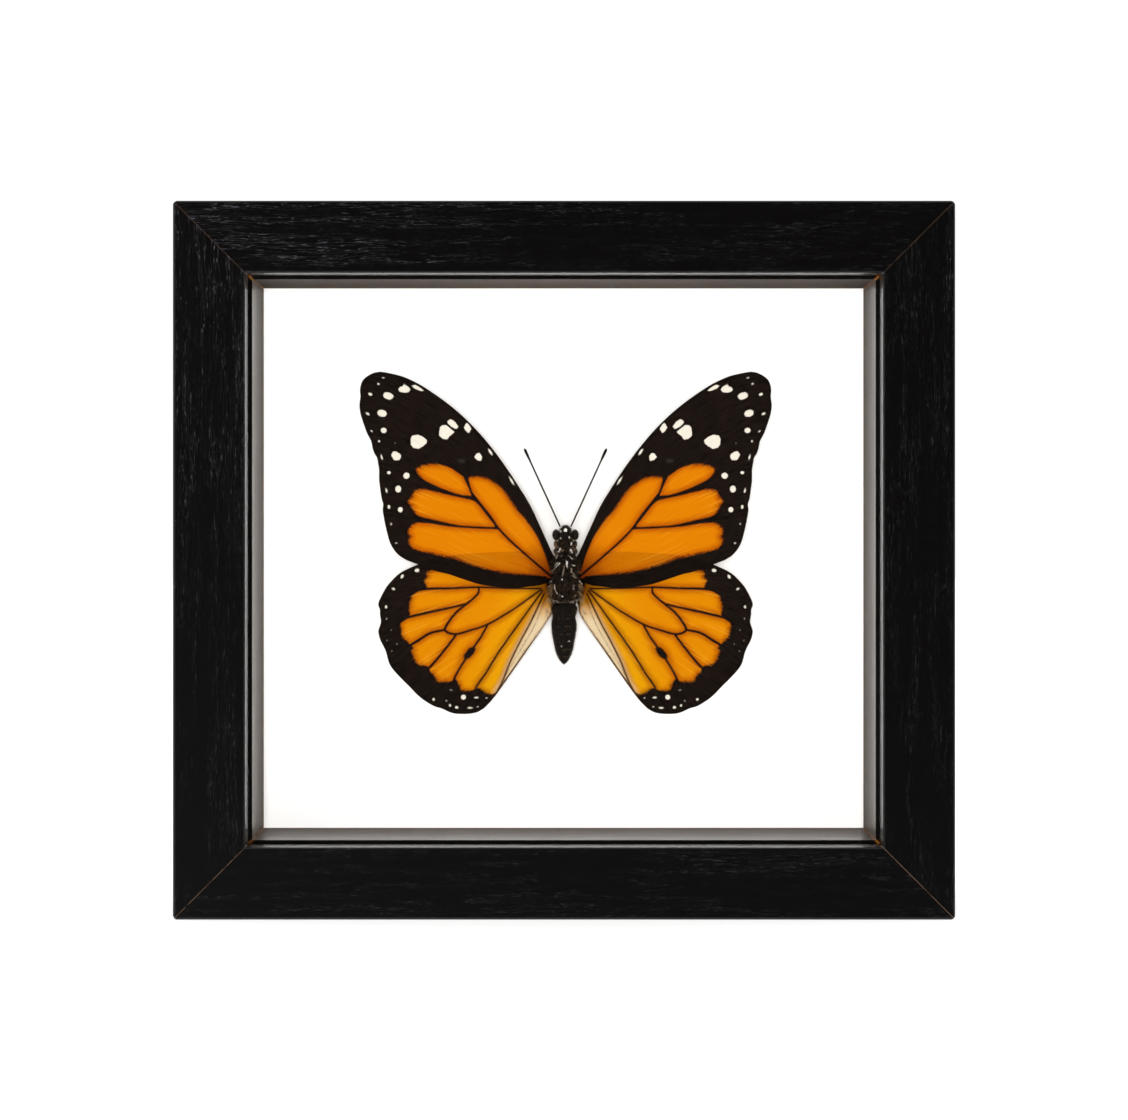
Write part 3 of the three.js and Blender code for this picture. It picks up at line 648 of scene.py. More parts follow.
hindwing_veins = [
    [
        (4.8, -2.1), (10.8, -2.0), (16.9, -1.8), (22.5, -2.0), (26.8, -2.1), (29.2, -2.5), (32.3, -3.3),
        (35.1, -4.1),
    ],
    [(16.9, -1.8), (17.1, -3.1), (19.1, -4.9), (21.2, -6.6), (22.8, -8.6), (23.6, -10.1)],
    [(19.4, -5.1), (24.0, -6.1), (29.8, -7.4), (32.3, -8.2), (35.8, -10.0)],
    [(23.6, -10.1), (26.3, -10.7), (28.6, -12.1), (30.2, -13.1), (32.3, -15.0), (34.1, -17.0)],
    [(4.8, -2.3), (10.2, -6.1), (15.1, -9.0), (18.6, -10.2), (21.2, -10.9), (22.7, -10.7), (23.6, -10.1)],
    [(21.2, -10.9), (23.4, -13.8), (26.3, -17.2), (28.8, -18.9), (31.4, -19.9)],
    [(15.1, -9.0), (16.5, -11.5), (17.7, -13.2), (20.2, -16.9), (21.7, -19.7), (23.9, -25.4)],
    [(4.5, -2.5), (8.3, -7.8), (12.6, -13.8), (15.4, -18.3), (17.7, -21.8), (19.4, -26.4)],
    anal_vein,
]
# A faint brown fold runs down the buff inner margin, between the last vein and the inner edge.
inner_fold = [(4.0, -4.0), (5.8, -8.6), (8.3, -13.2), (10.6, -17.2), (12.6, -20.6)]
buff_patch = anal_vein + [(12.0, -26.0), (1.0, -9.0), (1.0, -3.0)]
scent_spot = (18.7, -14.6, 3.1, 1.4, -48, 1.0)
hindwing_ovals = [
    (28.9, 1.5, 0.9, 0.8, 0, 1.0), (31.8, 0.3, 0.6, 0.9, 30, 1.0), (33.5, -2.1, 0.8, 0.5, 30, 1.0),
    (34.9, -5.6, 0.5, 0.7, 0, 1.0), (34.8, -7.9, 0.3, 0.4, 0, 0.6), (25.7, -23.6, 0.5, 0.6, 0, 1.0),
    (22.3, -21.8, 0.6, 0.3, 0, 0.6), (23.2, -23.9, 0.4, 0.4, 0, 0.5), (19.9, -23.2, 1.0, 1.0, 0, 1.0),
    (17.4, -23.3, 1.0, 0.4, 0, 0.9), (15.4, -23.4, 0.4, 0.4, 0, 0.6), (22.5, -24.8, 0.5, 0.6, 0, 1.0),
    (21.2, -25.2, 0.7, 0.6, 0, 1.0), (18.6, -25.3, 1.1, 0.4, 0, 1.0), (17.1, -25.1, 0.4, 0.4, 0, 0.6),
    (33.9, -10.1, 0.4, 0.4, 0, 0.25), (34.7, -12.1, 0.4, 0.4, 0, 0.25), (32.8, -12.8, 0.4, 0.4, 0, 0.25),
    (33.8, -14.2, 0.4, 0.4, 0, 0.25),
]


def smooth_curve(points, count, closed=False):
    """Evenly spaced points on a smooth curve through a few given ones."""
    points = np.array(points, float)
    if closed:
        knots = np.vstack([points[-1:], points, points[:2]])
    else:
        knots = np.vstack([2 * points[0] - points[1], points, 2 * points[-1] - points[-2]])
    share = np.linspace(0, 1, 16, endpoint=False)[:, None]
    stretches = []
    for a, b, c, d in zip(knots[:-3], knots[1:-2], knots[2:-1], knots[3:]):
        bend = (2 * a - 5 * b + 4 * c - d) * share ** 2 + (3 * b - a - 3 * c + d) * share ** 3
        stretches.append(b + 0.5 * ((c - a) * share + bend))
    fine = np.vstack(stretches + [knots[-2:-1]])
    length = np.concatenate([[0], np.cumsum(np.linalg.norm(np.diff(fine, axis=0), axis=1))])
    even = np.linspace(0, length[-1], count)
    return np.stack([np.interp(even, length, fine[:, axis]) for axis in (0, 1)], axis=1)


def line_gap(places, line):
    """Shortest distance from each place to a line of points."""
    nearest = np.full(len(places), np.inf)
    for start, end in zip(line[:-1], line[1:]):
        along = end - start
        share = np.clip((places - start) @ along / (along @ along), 0, 1)
        nearest = np.minimum(nearest, np.linalg.norm(places - start - share[:, None] * along, axis=1))
    return nearest


def patch_depth(places, outline, rounded=True):
    """Distance to a closed outline, smooth or straight-sided, positive inside."""
    if rounded:
        rim = smooth_curve(outline, 6 * len(outline), closed=True)
    else:
        rim = np.array(outline + outline[:1], float)
    inside = np.zeros(len(places), bool)
    for (x1, y1), (x2, y2) in zip(rim[:-1], rim[1:]):
        if y1 == y2:
            continue
        crosses = (y1 > places[:, 1]) != (y2 > places[:, 1])
        inside ^= crosses & (places[:, 0] < x1 + (places[:, 1] - y1) * (x2 - x1) / (y2 - y1))
    gap = line_gap(places, rim)
    return np.where(inside, gap, -gap)


def oval_depth(places, oval):
    """About the distance inside an oval, positive within it."""
    out, up, width, height, turn, _ = oval
    angle = math.radians(turn)
    away = places - np.array([out, up])
    along = away[:, 0] * math.cos(angle) + away[:, 1] * math.sin(angle)
    across = away[:, 1] * math.cos(angle) - away[:, 0] * math.sin(angle)
    reach = np.hypot(along / (width / 2), across / (height / 2))
    return (1 - reach) * min(width, height) / 2


def vein_gap(places, veins):
    """Distance from each place to the nearest vein."""
    return np.min([line_gap(places, smooth_curve(vein, 6 * len(vein))) for vein in veins], axis=0)


def spot_marks(places, blocks, ovals):
    """Depth in the nearest pale spot, and how pale that spot is."""
    depths = [patch_depth(places, outline, rounded=False) for outline in blocks]
    depths += [oval_depth(places, oval) for oval in ovals]
    tones = np.array([1.0] * len(blocks) + [oval[5] for oval in ovals])
    depths = np.array(depths)
    return depths.max(axis=0), tones[depths.argmax(axis=0)]


def shares(values, start, end):
    """How far each value has gone from one value to another, from 0 to 1."""
    return np.clip((values - start) / (end - start), 0, 1)


forewing_root = (2.8, 0.3)
forewing_vein_half = 0.2
overlap_shade = 0.32
overlap_edge_shade = 0.45
overlap_edge_width = 0.14
hindwing_root = (3.0, -2.0)
hindwing_vein_half = 0.15
hindwing_vein_growth = 0.11
inner_fold_half = 0.02
inner_rim_half = 0.34


def forewing_marks(places):
    """The wing_marks of the forewing at some places."""
    spot_depth, spot_tone = spot_marks(places, forewing_blocks, forewing_ovals)
    veins = vein_gap(places, forewing_veins)
    orange = np.max([patch_depth(places, cell) for cell in forewing_cells], axis=0)
    orange = np.minimum(orange, veins - forewing_vein_half)
    # The orange deepens to red-brown towards the root.
    from_root = np.hypot(*(places - forewing_root).T)
    orange = np.minimum(orange, 0.05 + 0.12 * from_root)
    # Painted shade where the hindwing lies behind the forewing, darkest along the hindwing's own edge.
    in_overlap = patch_depth(places, overlap)
    painted_shade = overlap_shade * shares(in_overlap, -0.3, 0.3)
    painted_shade = np.maximum(painted_shade, overlap_edge_shade * np.exp(-(in_overlap / overlap_edge_width) ** 2))
    # Painted shade also darkens the forewing towards its root.
    painted_shade = np.maximum(painted_shade, shares(from_root, 7.7, 0.7))
    nowhere = np.zeros_like(veins)
    return orange, veins, spot_depth, spot_tone, nowhere, nowhere, painted_shade


def hindwing_marks(places):
    """The same for the hindwing, whose one orange field is crossed by veins and pales to buff inwards."""
    spot_depth, spot_tone = spot_marks(places, [], hindwing_ovals)
    veins = vein_gap(places, hindwing_veins)
    out, up = places.T
    # Veins are broader towards the margin.
    vein_half = hindwing_vein_half + hindwing_vein_growth * shares(out, 8, 30)
    orange = np.minimum(patch_depth(places, hindwing_field), veins - vein_half)
    orange = np.minimum(orange, -oval_depth(places, scent_spot))
    orange = np.minimum(orange, line_gap(places, smooth_curve(inner_fold, 40)) - inner_fold_half)
    # A thin brown rim runs along the inner edge, wider towards the margin.
    rim_gap = line_gap(places, smooth_curve(hindwing_inner, 60)) - inner_rim_half * shares(up, -5, -14)
    orange = np.minimum(orange, 2 * rim_gap)
    buff_depth = patch_depth(places, buff_patch)
    # Near the root even the inner margin is golden.
    buff = shares(buff_depth, -1.1, 0.7) ** 1.4 * shares(up, -4.6, -8.6)
    from_root = np.hypot(*(places - hindwing_root).T)
    gold = np.clip(np.maximum(1.0 + buff_depth / 11, 1.2 - from_root / 12), 0.22, 1)
    # The last mark is painted shade near the hindwing's root.
    return orange, veins, spot_depth, spot_tone, buff, gold, shares(from_root, 4.8, 0.8)


wing_dihedral = math.radians(4)
wing_camber = 0.3
wing_thickness = 0.1
wing_rows = 230
wing_columns = 150
vein_height = 0.07
vein_spread = 0.2
pleat_depth = 0.12
pleat_reach = 1.2


def make_wing(kind, side_name, edges, step, marks):
    """A wing stretched like a net between its four edges, lifted to its camber, with raised veins,
    and given the thickness of a stiff dried sheet."""
    deselect()
    bpy.ops.mesh.primitive_grid_add(x_subdivisions=wing_rows, y_subdivisions=wing_columns, size=1)
    wing = bpy.context.object
    count = len(wing.data.vertices)
    net = np.empty(count * 3)
    wing.data.vertices.foreach_get("co", net)
    net = net.reshape(-1, 3)
    u, v = net[:, :1] + 0.5, net[:, 1:2] + 0.5
    steps = 900
    lead, margin, trail = [smooth_curve(edge, steps) for edge in edges]
    root = np.linspace(lead[0], trail[0], steps)

    def along(curve, share):
        at = np.linspace(0, 1, steps)
        return np.stack([np.interp(share[:, 0], at, curve[:, axis]) for axis in (0, 1)], axis=1)

    between_edges = (1 - v) * along(lead, u) + v * along(trail, u)
    between_ends = (1 - u) * along(root, v) + u * along(margin, v)
    corners = (1 - u) * ((1 - v) * lead[0] + v * trail[0])
    corners = corners + u * ((1 - v) * lead[-1] + v * trail[-1])
    places = between_edges + between_ends - corners
    values = dict(zip(wing_marks, marks(places)))
    veins = values["vein_gap"]
    lift = places[:, 0] * math.tan(wing_dihedral) + wing_camber * np.sin(np.pi * u[:, 0])
    relief = vein_height * np.exp(-(veins / vein_spread) ** 2)
    relief -= pleat_depth * (1 - np.exp(-veins / pleat_reach))
    spots = np.stack([
        axis_x + sides[side_name] * places[:, 0],
        body_y - step - lift - relief,
        thorax_z + places[:, 1],
    ], axis=1) * MM
    wing.data.vertices.foreach_set("co", spots.ravel())
    for mark, numbers in values.items():
        layer = wing.data.attributes.new(mark, "FLOAT", "POINT")
        layer.data.foreach_set("value", numbers.astype(np.float32))
    wing.data.update()
    bpy.ops.object.mode_set(mode="EDIT")
    bpy.ops.mesh.select_all(action="SELECT")
    bpy.ops.mesh.normals_make_consistent(inside=False)
    bpy.ops.object.mode_set(mode="OBJECT")
    if wing.data.polygons[count // 2].normal.y > 0:
        wing.data.flip_normals()
    for material in (upper_scales, under_scales):
        wing.data.materials.append(material)
    sheet = wing.modifiers.new("sheet", "SOLIDIFY")
    sheet.thickness = wing_thickness * MM
    sheet.offset = 0
    sheet.material_offset = 1
    bpy.ops.object.modifier_apply(modifier=sheet.name)
    bpy.ops.object.shade_smooth()
    return finish(wing, side_name + "_" + kind, "wing_scales", [], kind + "_" + side_name)


forewing_edges = (forewing_lead, forewing_margin, forewing_trail)
hindwing_edges = (hindwing_lead, hindwing_margin, hindwing_inner)
forewing_step = 1.3
hindwing_step = 0.4
hindwings = []
for side_name in sides:
    make_wing("forewing", side_name, forewing_edges, forewing_step, forewing_marks)
    hindwings.append(make_wing("hindwing", side_name, hindwing_edges, hindwing_step, hindwing_marks))


# Body. Places are from the body centre: right, towards the board, up.

def ball(place, half):
    """An ellipsoid on the body."""
    bpy.ops.mesh.primitive_uv_sphere_add(
        segments=24, ring_count=16, radius=1, location=(body_centre + Vector(place)) * MM)
    piece = bpy.context.object
    piece.scale = Vector(half) * MM
    return piece


def spindle(start, end, start_radius, end_radius):
    """A tapered rod between two points of the body."""
    start, end = body_centre + Vector(start), body_centre + Vector(end)
    along = end - start
    bpy.ops.mesh.primitive_cone_add(
        vertices=12, radius1=start_radius * MM, radius2=end_radius * MM, depth=along.length * MM,
        location=(start + end) / 2 * MM, rotation=along.to_track_quat("Z", "Y").to_euler())
    return bpy.context.object


def fused(parts, voxel, smoothing):
    """Draws one smooth skin over several overlapping parts."""
    deselect()
    for part in parts:
        part.select_set(True)
    bpy.context.view_layer.objects.active = parts[0]
    bpy.ops.object.join()
    piece = bpy.context.object
    settle()
    skin = piece.modifiers.new("skin", "REMESH")
    skin.mode = "VOXEL"
    skin.voxel_size = voxel * MM
    bpy.ops.object.modifier_apply(modifier=skin.name)
    soften = piece.modifiers.new("soften", "SMOOTH")
    soften.iterations = smoothing
    bpy.ops.object.modifier_apply(modifier=soften.name)
    bpy.ops.object.shade_smooth()
    return piece


thorax_parts = [
    ball((0, 0, 0.25), (2.5, 3.0, 4.8)),
    ball((0, -1.5, -3.4), (1.5, 1.5, 1.3)),
    ball((0, -2.6, -0.7), (1.2, 1.1, 1.7)),
]
head_parts = [ball((0, -0.1, 8.1), (1.2, 1.9, 2.2)), ball((0, 0.3, 6.6), (1.5, 1.7, 1.5))]
eye_parts = []
lobe_parts = []
leg_parts = []
leg_routes = [
    [(1.0, 2.0, 1.2), (2.3, 4.3, 3.0), (1.5, 5.2, -1.8), (1.2, 5.5, -4.4)],
    [(1.0, 2.1, -1.6), (2.3, 4.3, -3.4), (1.3, 4.9, -7.6), (1.0, 5.1, -9.8)],
]
leg_radii = (0.26, 0.2, 0.15, 0.1)
knee_swell = 1.2
for side in sides.values():
    thorax_parts += [
        ball((side * 1.1, -1.3, 2.2), (1.25, 1.9, 2.6)),
        ball((side * 2.3, -1.2, 2.4), (0.6, 1.0, 1.7)),
        ball((side * 1.9, -1.0, -1.4), (1.0, 1.6, 1.9)),
        ball((side * 2.1, -0.3, -3.3), (0.9, 1.5, 1.3)),
    ]
    lobe_parts += [
        ball((side * 1.85, -0.6, 6.6), (0.48, 0.7, 0.72)),
        ball((side * 1.75, -0.7, 5.2), (0.6, 0.8, 0.72)),
        ball((side * 0.75, -1.2, 5.4), (0.6, 0.7, 0.6)),
    ]
    eye_parts.append(ball((side * 1.85, -0.1, 8.4), (0.75, 1.2, 1.1)))
    for route in leg_routes:
        points = [(side * out, back, up) for out, back, up in route]
        for start, end, start_radius, end_radius in zip(points, points[1:], leg_radii, leg_radii[1:]):
            leg_parts.append(spindle(start, end, start_radius, end_radius))
            leg_parts.append(ball(end, [end_radius * knee_swell] * 3))

thorax = finish(
    fused(thorax_parts, voxel=0.14, smoothing=6), "thorax_shell", "insect_body", [shell], "thorax")
head = finish(fused(head_parts, voxel=0.12, smoothing=4), "head_shell", "insect_body", [shell], "head")
finish(fused(eye_parts, voxel=0.08, smoothing=6), "eyes", "insect_body", [eye_shine])
collar = finish(fused(lobe_parts, voxel=0.08, smoothing=3), "collar_lobes", "insect_body", [lobes])
finish(fused(leg_parts, voxel=0.07, smoothing=3), "legs", "insect_body", [shell])


sorting_point = (0.08, 0.0448, 0.031)  # metres, off every line of symmetry of a round piece


def grown(rings, corners):
    """A round piece grown ring by ring along Z: a disc is extruded and resized to each radius."""
    deselect()
    radius, height = rings[0]
    bpy.ops.mesh.primitive_circle_add(
        vertices=corners, radius=radius * MM, fill_type="NGON", location=(0, 0, height * MM))
    piece = bpy.context.object
    settle()
    bpy.ops.object.mode_set(mode="EDIT")
    bpy.ops.mesh.select_all(action="SELECT")
    for next_radius, next_height in rings[1:]:
        bpy.ops.mesh.extrude_region_move(
            TRANSFORM_OT_translate={"value": (0, 0, (next_height - height) * MM)})
        share = next_radius / radius
        bpy.ops.transform.resize(value=(share, share, 1), center_override=(0, 0, next_height * MM))
        radius, height = next_radius, next_height
    bpy.ops.mesh.select_all(action="SELECT")
    bpy.ops.mesh.normals_make_consistent(inside=False)
    # Extruding leaves the faces in an order that changes from run to run, and hair drawn on them would
    # change with it. So they are sorted by their distance from a point.
    cursor = bpy.context.scene.cursor
    cursor.location = sorting_point
    bpy.ops.mesh.sort_elements(type="CURSOR_DISTANCE", elements={"VERT", "EDGE", "FACE"})
    cursor.location = (0, 0, 0)
    bpy.ops.object.mode_set(mode="OBJECT")
    return piece


# Abdomen: eight rings, each a little fuller than the groove between it and the next.
abdomen_profile = [
    (1.9, -4.95), (2.35, -5.4), (2.6, -6.0), (2.35, -6.9), (2.2, -7.5), (2.35, -8.4), (2.45, -9.2),
    (2.3, -10.8), (2.05, -12.3), (1.7, -14.05), (1.2, -15.5), (0.72, -16.3), (0.35, -16.72), (0.05, -16.9),
]
abdomen_top, abdomen_end = abdomen_profile[0][1], abdomen_profile[-1][1]
abdomen_shift = Vector((-0.3, 0, 0))
ring_count = 8
groove_depth = 0.07
abdomen_rings = []
for radius, height in smooth_curve(abdomen_profile, 60):
    phase = (height - abdomen_top) / (abdomen_end - abdomen_top) * ring_count
    groove = groove_depth * (1 - abs(math.sin(math.pi * phase)) ** 0.5)
    abdomen_rings.append((max(radius - groove, 0.04), height))
abdomen = grown(abdomen_rings, corners=40)
abdomen.location = (body_centre + abdomen_shift) * MM
settle()
bpy.ops.object.shade_smooth()
finish(abdomen, "abdomen_shell", "insect_body", [shell], "abdomen")


# Antennae: slim ringed stalks that thicken to a club.
antenna_base = Vector((1.05, -0.8, 10.0))
antenna_tip = Vector((8.05, -0.8, 25.3))
antenna_rings = []
antenna_length = (antenna_tip - antenna_base).length
stalk_radius = 0.155
joint_length = 0.4
joint_swell = 0.012
club_start = antenna_length - 3.2
club_swell = 0.12
end_length = 0.35
for height in np.linspace(0, antenna_length, 90):
    swell = stalk_radius + joint_swell * math.cos(2 * math.pi * height / joint_length)
    club = max(0.0, (height - club_start) / (antenna_length - club_start))
    swell += club_swell * math.sin(math.pi * min(club, 1) ** 1.5 * 0.75)
    end = min(1.0, (antenna_length - height) / end_length)
    antenna_rings.append((max(swell * math.sqrt(max(end, 0)), 0.02), height))
for side_name, side in sides.items():
    stalk = grown(antenna_rings, corners=10)
    base = Vector((side * antenna_base.x, antenna_base.y, antenna_base.z))
    tip = Vector((side * antenna_tip.x, antenna_tip.y, antenna_tip.z))
    stalk.rotation_euler = (tip - base).to_track_quat("Z", "Y").to_euler()
    stalk.location = (body_centre + base) * MM
    settle()
    bpy.ops.object.shade_smooth()
    finish(stalk, side_name + "_antenna", "insect_body", [shell], "antenna_" + side_name)


# White scale patches: place right and up from the body centre, width, height.
dot_marks = [
    (0.0, 9.25, 0.7, 0.9), (-0.9, 9.0, 0.3, 0.6), (-0.9, 7.75, 0.4, 0.35), (0.7, 7.9, 0.3, 0.5),
    (1.1, 6.65, 0.42, 0.75), (0.3, 2.7, 0.5, 1.3), (-0.65, -0.25, 0.32, 0.4), (-0.63, -3.55, 0.35, 0.3),
    (-0.8, -13.3, 0.25, 0.25), (0.7, -12.3, 0.25, 0.3),
]
# Thin streaks of white hair on the thorax, which also stand for painted glints on its shiny shell: a line of
# places right and up, and a tone from 0 to 1.
streak_lines = [
    ([(-0.95, 5.75), (-1.4, 5.15)], 1.0), ([(0.9, 5.6), (1.25, 5.1)], 1.0),
    ([(-1.4, 4.65), (-1.85, 3.85)], 0.85), ([(-0.75, 4.45), (-0.9, 4.25)], 0.75),
    ([(0.35, 4.5), (0.75, 4.25), (1.35, 3.7)], 0.8), ([(-1.15, 2.95), (-1.85, 2.2)], 1.0),
    ([(-1.55, 2.95), (-2.1, 2.4)], 0.75), ([(-1.9, 2.1), (-2.45, 1.4)], 0.7),
    ([(0.1, 3.6), (0.4, 2.0)], 0.95), ([(-0.2, 2.4), (-0.45, 1.25), (-0.6, 0.45)], 0.7),
    ([(1.2, 2.6), (1.7, 2.4)], 0.85), ([(1.1, 2.0), (1.15, 1.25), (1.7, 0.7), (1.95, 0.2)], 0.7),
    ([(1.3, 0.45), (2.05, 0.15)], 0.7), ([(-3.0, 0.2), (-2.5, -0.1)], 0.65),
    ([(2.7, -0.6), (3.15, -1.15)], 0.9), ([(-2.7, -0.6), (-3.0, -0.8)], 0.9),
    ([(-2.1, -1.25), (-2.15, -2.05), (-1.7, -2.9), (-1.15, -3.35)], 0.8),
    ([(1.55, -1.3), (1.55, -2.2)], 0.75), ([(2.05, -3.2), (1.8, -3.55)], 0.6),
]
ray_start = 8  # well in front of the body
dot_half_depth = 0.14


def skin_depth(right, up, carriers):
    """How far towards the board the body's skin lies at a place, or None beside the body."""
    start = Vector((axis_x + right, body_y - ray_start, thorax_z + up)) * MM
    depths = []
    for carrier in carriers:
        found, spot, _, _ = carrier.ray_cast(start, Vector((0, 1, 0)))
        if found:
            depths.append(spot.y / MM - body_y)
    return min(depths, default=None)


body_skins = [head, collar, thorax, abdomen]
dot_parts = []
for right, up, width, height in dot_marks:
    depth = skin_depth(right, up, body_skins)
    dot_parts.append(ball((right, depth, up), (width / 2, dot_half_depth, height / 2)))
finish(fused(dot_parts, voxel=0.06, smoothing=2), "white_scale_patches", "insect_body", [white_scales])


# Hair

def surface_places(piece, count):
    """Seeded places on a piece's surface, and the way the surface faces there."""
    mesh = piece.data
    mesh.calc_loop_triangles()
    points = np.array([v.co for v in mesh.vertices])
    corners = np.array([t.vertices for t in mesh.loop_triangles])
    a, b, c = points[corners[:, 0]], points[corners[:, 1]], points[corners[:, 2]]
    facing = np.cross(b - a, c - a)
    area = np.linalg.norm(facing, axis=1)
    chosen = chance.choice(len(corners), count, p=area / area.sum())
    r1, r2 = np.sqrt(chance.random(count))[:, None], chance.random(count)[:, None]
    places = (1 - r1) * a[chosen] + r1 * (1 - r2) * b[chosen] + r1 * r2 * c[chosen]
    return places / MM, facing[chosen] / area[chosen][:, None]


def hair_piece(name, roots, ways, lengths, width, droop, tones):
    """Many thin three-sided hairs as one mesh, each bending down towards its tip."""
    count = len(roots)
    ways = ways / np.linalg.norm(ways, axis=1)[:, None]
    aside = np.cross(ways, chance.normal(size=(count, 3)))
    aside /= np.linalg.norm(aside, axis=1)[:, None]
    other = np.cross(ways, aside)
    bend = np.array([0, 0, -1.0]) * droop
    rings = []
    for share, thick in ((0.0, 1.0), (0.55, 0.8)):
        middle = roots + ways * (lengths * share)[:, None] + bend * (lengths * share ** 2)[:, None]
        for third in range(3):
            angle = 2 * math.pi * third / 3
            rings.append(middle + (aside * math.cos(angle) + other * math.sin(angle)) * width / 2 * thick)
    tip = roots + ways * lengths[:, None] + bend * lengths[:, None]
    points = np.stack(rings + [tip], axis=1).reshape(-1, 3) * MM
    pattern = [(0, 1, 4, 3), (1, 2, 5, 4), (2, 0, 3, 5), (3, 4, 6), (4, 5, 6), (5, 3, 6)]
    corners = len(rings) + 1
    faces = []
    for first in range(0, count * corners, corners):
        faces += [[first + corner for corner in face] for face in pattern]
    mesh = bpy.data.meshes.new(name)
    mesh.from_pydata(points.tolist(), [], faces)
    layer = mesh.attributes.new("hair_tone", "FLOAT", "POINT")
    layer.data.foreach_set("value", np.repeat(tones, corners).astype(np.float32))
    piece = bpy.data.objects.new(name, mesh)
    bpy.context.collection.objects.link(piece)
    return finish(piece, name, "insect_body", [hair])


fur_width, fur_droop = 0.05, 0.15
tuft_width, tuft_droop = 0.06, 0.1
tuft_rise = 0.05
tuft_lift = 0.35
tuft_turn_spread = 14


def fur(name, piece, count, length, tone_mean, lean):
    """Short fur over a piece, leaning towards the tail."""
    roots, facing = surface_places(piece, count)
    ways = facing + np.array([0, 0, -lean]) + chance.normal(0, 0.25, (count, 3))
    lengths = length * chance.uniform(0.5, 1.2, count)
    tones = np.clip(chance.normal(tone_mean, 0.07, count), 0, 1)
    return hair_piece(name, roots, ways, lengths, fur_width, fur_droop, tones)


fur("thorax_hair", thorax, count=5000, length=0.7, tone_mean=0.02, lean=0.8)
fur("head_hair", head, count=1200, length=0.45, tone_mean=0.05, lean=0.5)
fur("abdomen_hair", abdomen, count=2600, length=0.3, tone_mean=0.02, lean=1.2)


def lying_tufts(name, tufts):
    """Small tufts of hair that lie on the body. Each is (right, up, length, turn, count, tone, spread)."""
    roots, ways, lengths, tones = [], [], [], []
    for right, up, length, turn, count, tone, spread in tufts:
        for _ in range(count):
            root_right = right + chance.normal(0, spread)
            root_up = up + chance.normal(0, spread)
            depth = skin_depth(root_right, root_up, body_skins + hindwings)
            if depth is None:
                continue
            angle = math.radians(turn + chance.normal(0, tuft_turn_spread))
            roots.append(body_centre + Vector((root_right, depth - tuft_rise, root_up)))
            ways.append((math.sin(angle), -tuft_lift, -math.cos(angle)))
            lengths.append(length * chance.uniform(0.6, 1.0))
            tones.append(tone * chance.uniform(0.8, 1.0))
    roots, ways, lengths, tones = [np.array(numbers) for numbers in (roots, ways, lengths, tones)]
    return hair_piece(name, roots, ways, lengths, tuft_width, tuft_droop, tones)


streak_step = 0.2
streak_hair_length = 0.42
streak_tufts = []
for line, tone in streak_lines:
    for start, end in zip(line[:-1], line[1:]):
        turn = math.degrees(math.atan2(end[0] - start[0], start[1] - end[1]))
        for share in np.linspace(0, 0.85, math.ceil(math.dist(start, end) / streak_step)):
            right = start[0] + share * (end[0] - start[0])
            up = start[1] + share * (end[1] - start[1])
            streak_tufts.append((right, up, streak_hair_length, turn, 4, tone, 0.06))
lying_tufts("white_hair_and_glint_tufts", streak_tufts)
# A pale fringe where the thorax ends, and tan hair over the roots of the wings.
fringe_places = (-2.4, -2.1, -1.8, -1.5, -0.3, 0.5, 1.1, 1.4, 1.7, 2.0, 2.2)
fringe = [(right, -4.45, 0.4, 30 * right, 4, 0.9, 0.1) for right in fringe_places]
root_hair = []
for side in sides.values():
    root_hair += [
        (side * 2.6, -1.7, 1.3, side * 75, 14, 0.5, 0.3), (side * 2.7, -2.7, 1.4, side * 50, 16, 0.45, 0.3),
        (side * 3.1, -4.0, 1.5, side * 12, 22, 0.52, 0.25), (side * 3.4, -6.2, 1.5, side * 30, 18, 0.66, 0.3),
        (side * 2.5, 1.2, 1.0, side * 60, 10, 0.3, 0.3),
    ]
# Each abdomen ring ends in a sparse pale fringe of hair, which also stands for painted highlights along the
# ring edges.
for number in range(2, ring_count):
    ring_up = abdomen_top + (abdomen_end - abdomen_top) * number / ring_count
    for _ in range(4):
        root_hair.append((chance.uniform(-1.4, 1.0), ring_up, 0.22, chance.uniform(-60, 60), 3, 0.34, 0.08))
lying_tufts("fringe_and_root_hair", fringe + root_hair)


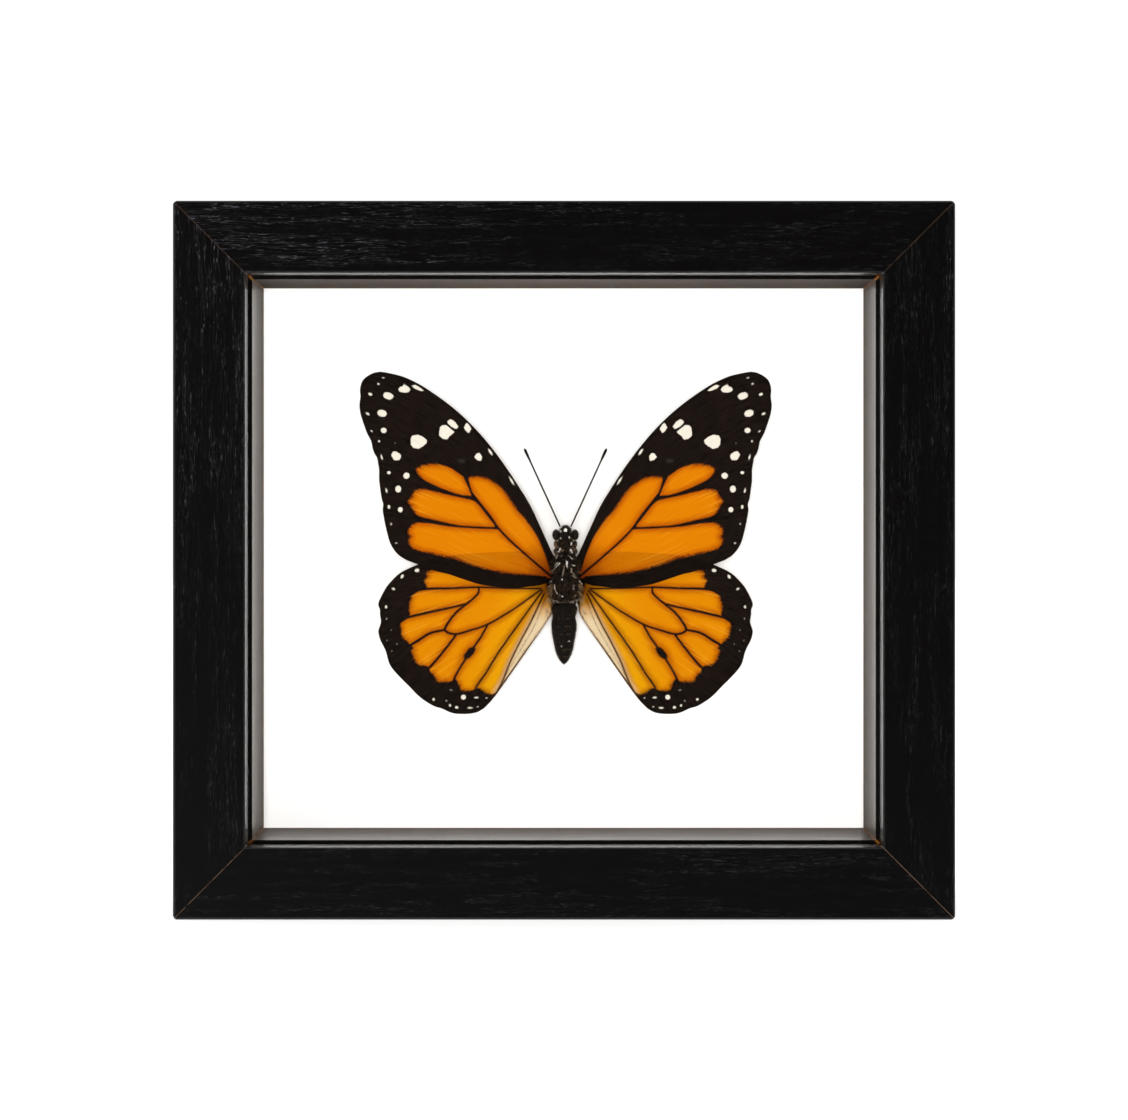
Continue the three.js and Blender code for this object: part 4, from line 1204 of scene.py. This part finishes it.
# Floor, light and camera

deselect()
bpy.ops.mesh.primitive_plane_add(size=6, location=(0, 0, 0))
floor = bpy.context.object
floor.name = "floor"
floor_paper = new_material(
    "pale studio floor", Roughness=0.9, Base_Color="#fdfdfd", Emission_Color="#ffffff",
    Emission_Strength=0.42)[0]
floor.data.materials.append(floor_paper)

# A bright plain room that is dim right around the camera, so that black wood and glass seen square on
# stay dark, and a broad soft light in front that lights the board evenly. That light and the floor are
# kept out of mirror reflections, as a polarising filter does.
scene = bpy.context.scene
world = bpy.data.worlds.new("soft studio")
scene.world = world
world.use_nodes = True
tree = world.node_tree
way = node(tree, "TexCoord").outputs["Generated"]
dim_axis = Vector((0.14, -1.0, 0.2)).normalized()
to_middle = node(tree, "VectorMath", way, dim_axis, operation="DOT_PRODUCT")
brightness = node(tree, "MapRange", to_middle, 0.72, 0.93, 1.05, 0.01, interpolation_type="SMOOTHSTEP")
backdrop = tree.nodes["Background"]
backdrop.inputs["Color"].default_value = linear("#ffffff")
feed(backdrop, Strength=brightness)

light_place = Vector((-0.01, -1.2, 0.09))
bpy.ops.object.light_add(type="AREA", location=light_place)
front_light = bpy.context.object
front_light.name = "front softbox"
front_light.rotation_euler = (math.radians(90), 0, 0)
front_light.data.shape = "RECTANGLE"
front_light.data.size = 0.22
front_light.data.size_y = 0.18
front_light.data.energy = 13.4
for stage_piece in (front_light, floor):
    stage_piece.visible_glossy = False
    stage_piece.visible_transmission = False
front_light.visible_camera = False
scene.view_settings.view_transform = "Standard"

# The camera's distance and lens are fitted to the frame's outer and inner edges in the photo, in which
# the frame stands a little off the middle.
photo_width = 1128
camera_data = bpy.data.cameras.new("camera")
camera_data.sensor_width = 36
camera_data.lens = 87.81
camera_data.shift_x = 10 / photo_width
camera_data.shift_y = -40 / photo_width
camera = bpy.data.objects.new("camera", camera_data)
camera.location = Vector((-1.9, -540, 75.6)) * MM
camera.rotation_euler = (math.radians(90), 0, 0)
scene.collection.objects.link(camera)
scene.camera = camera
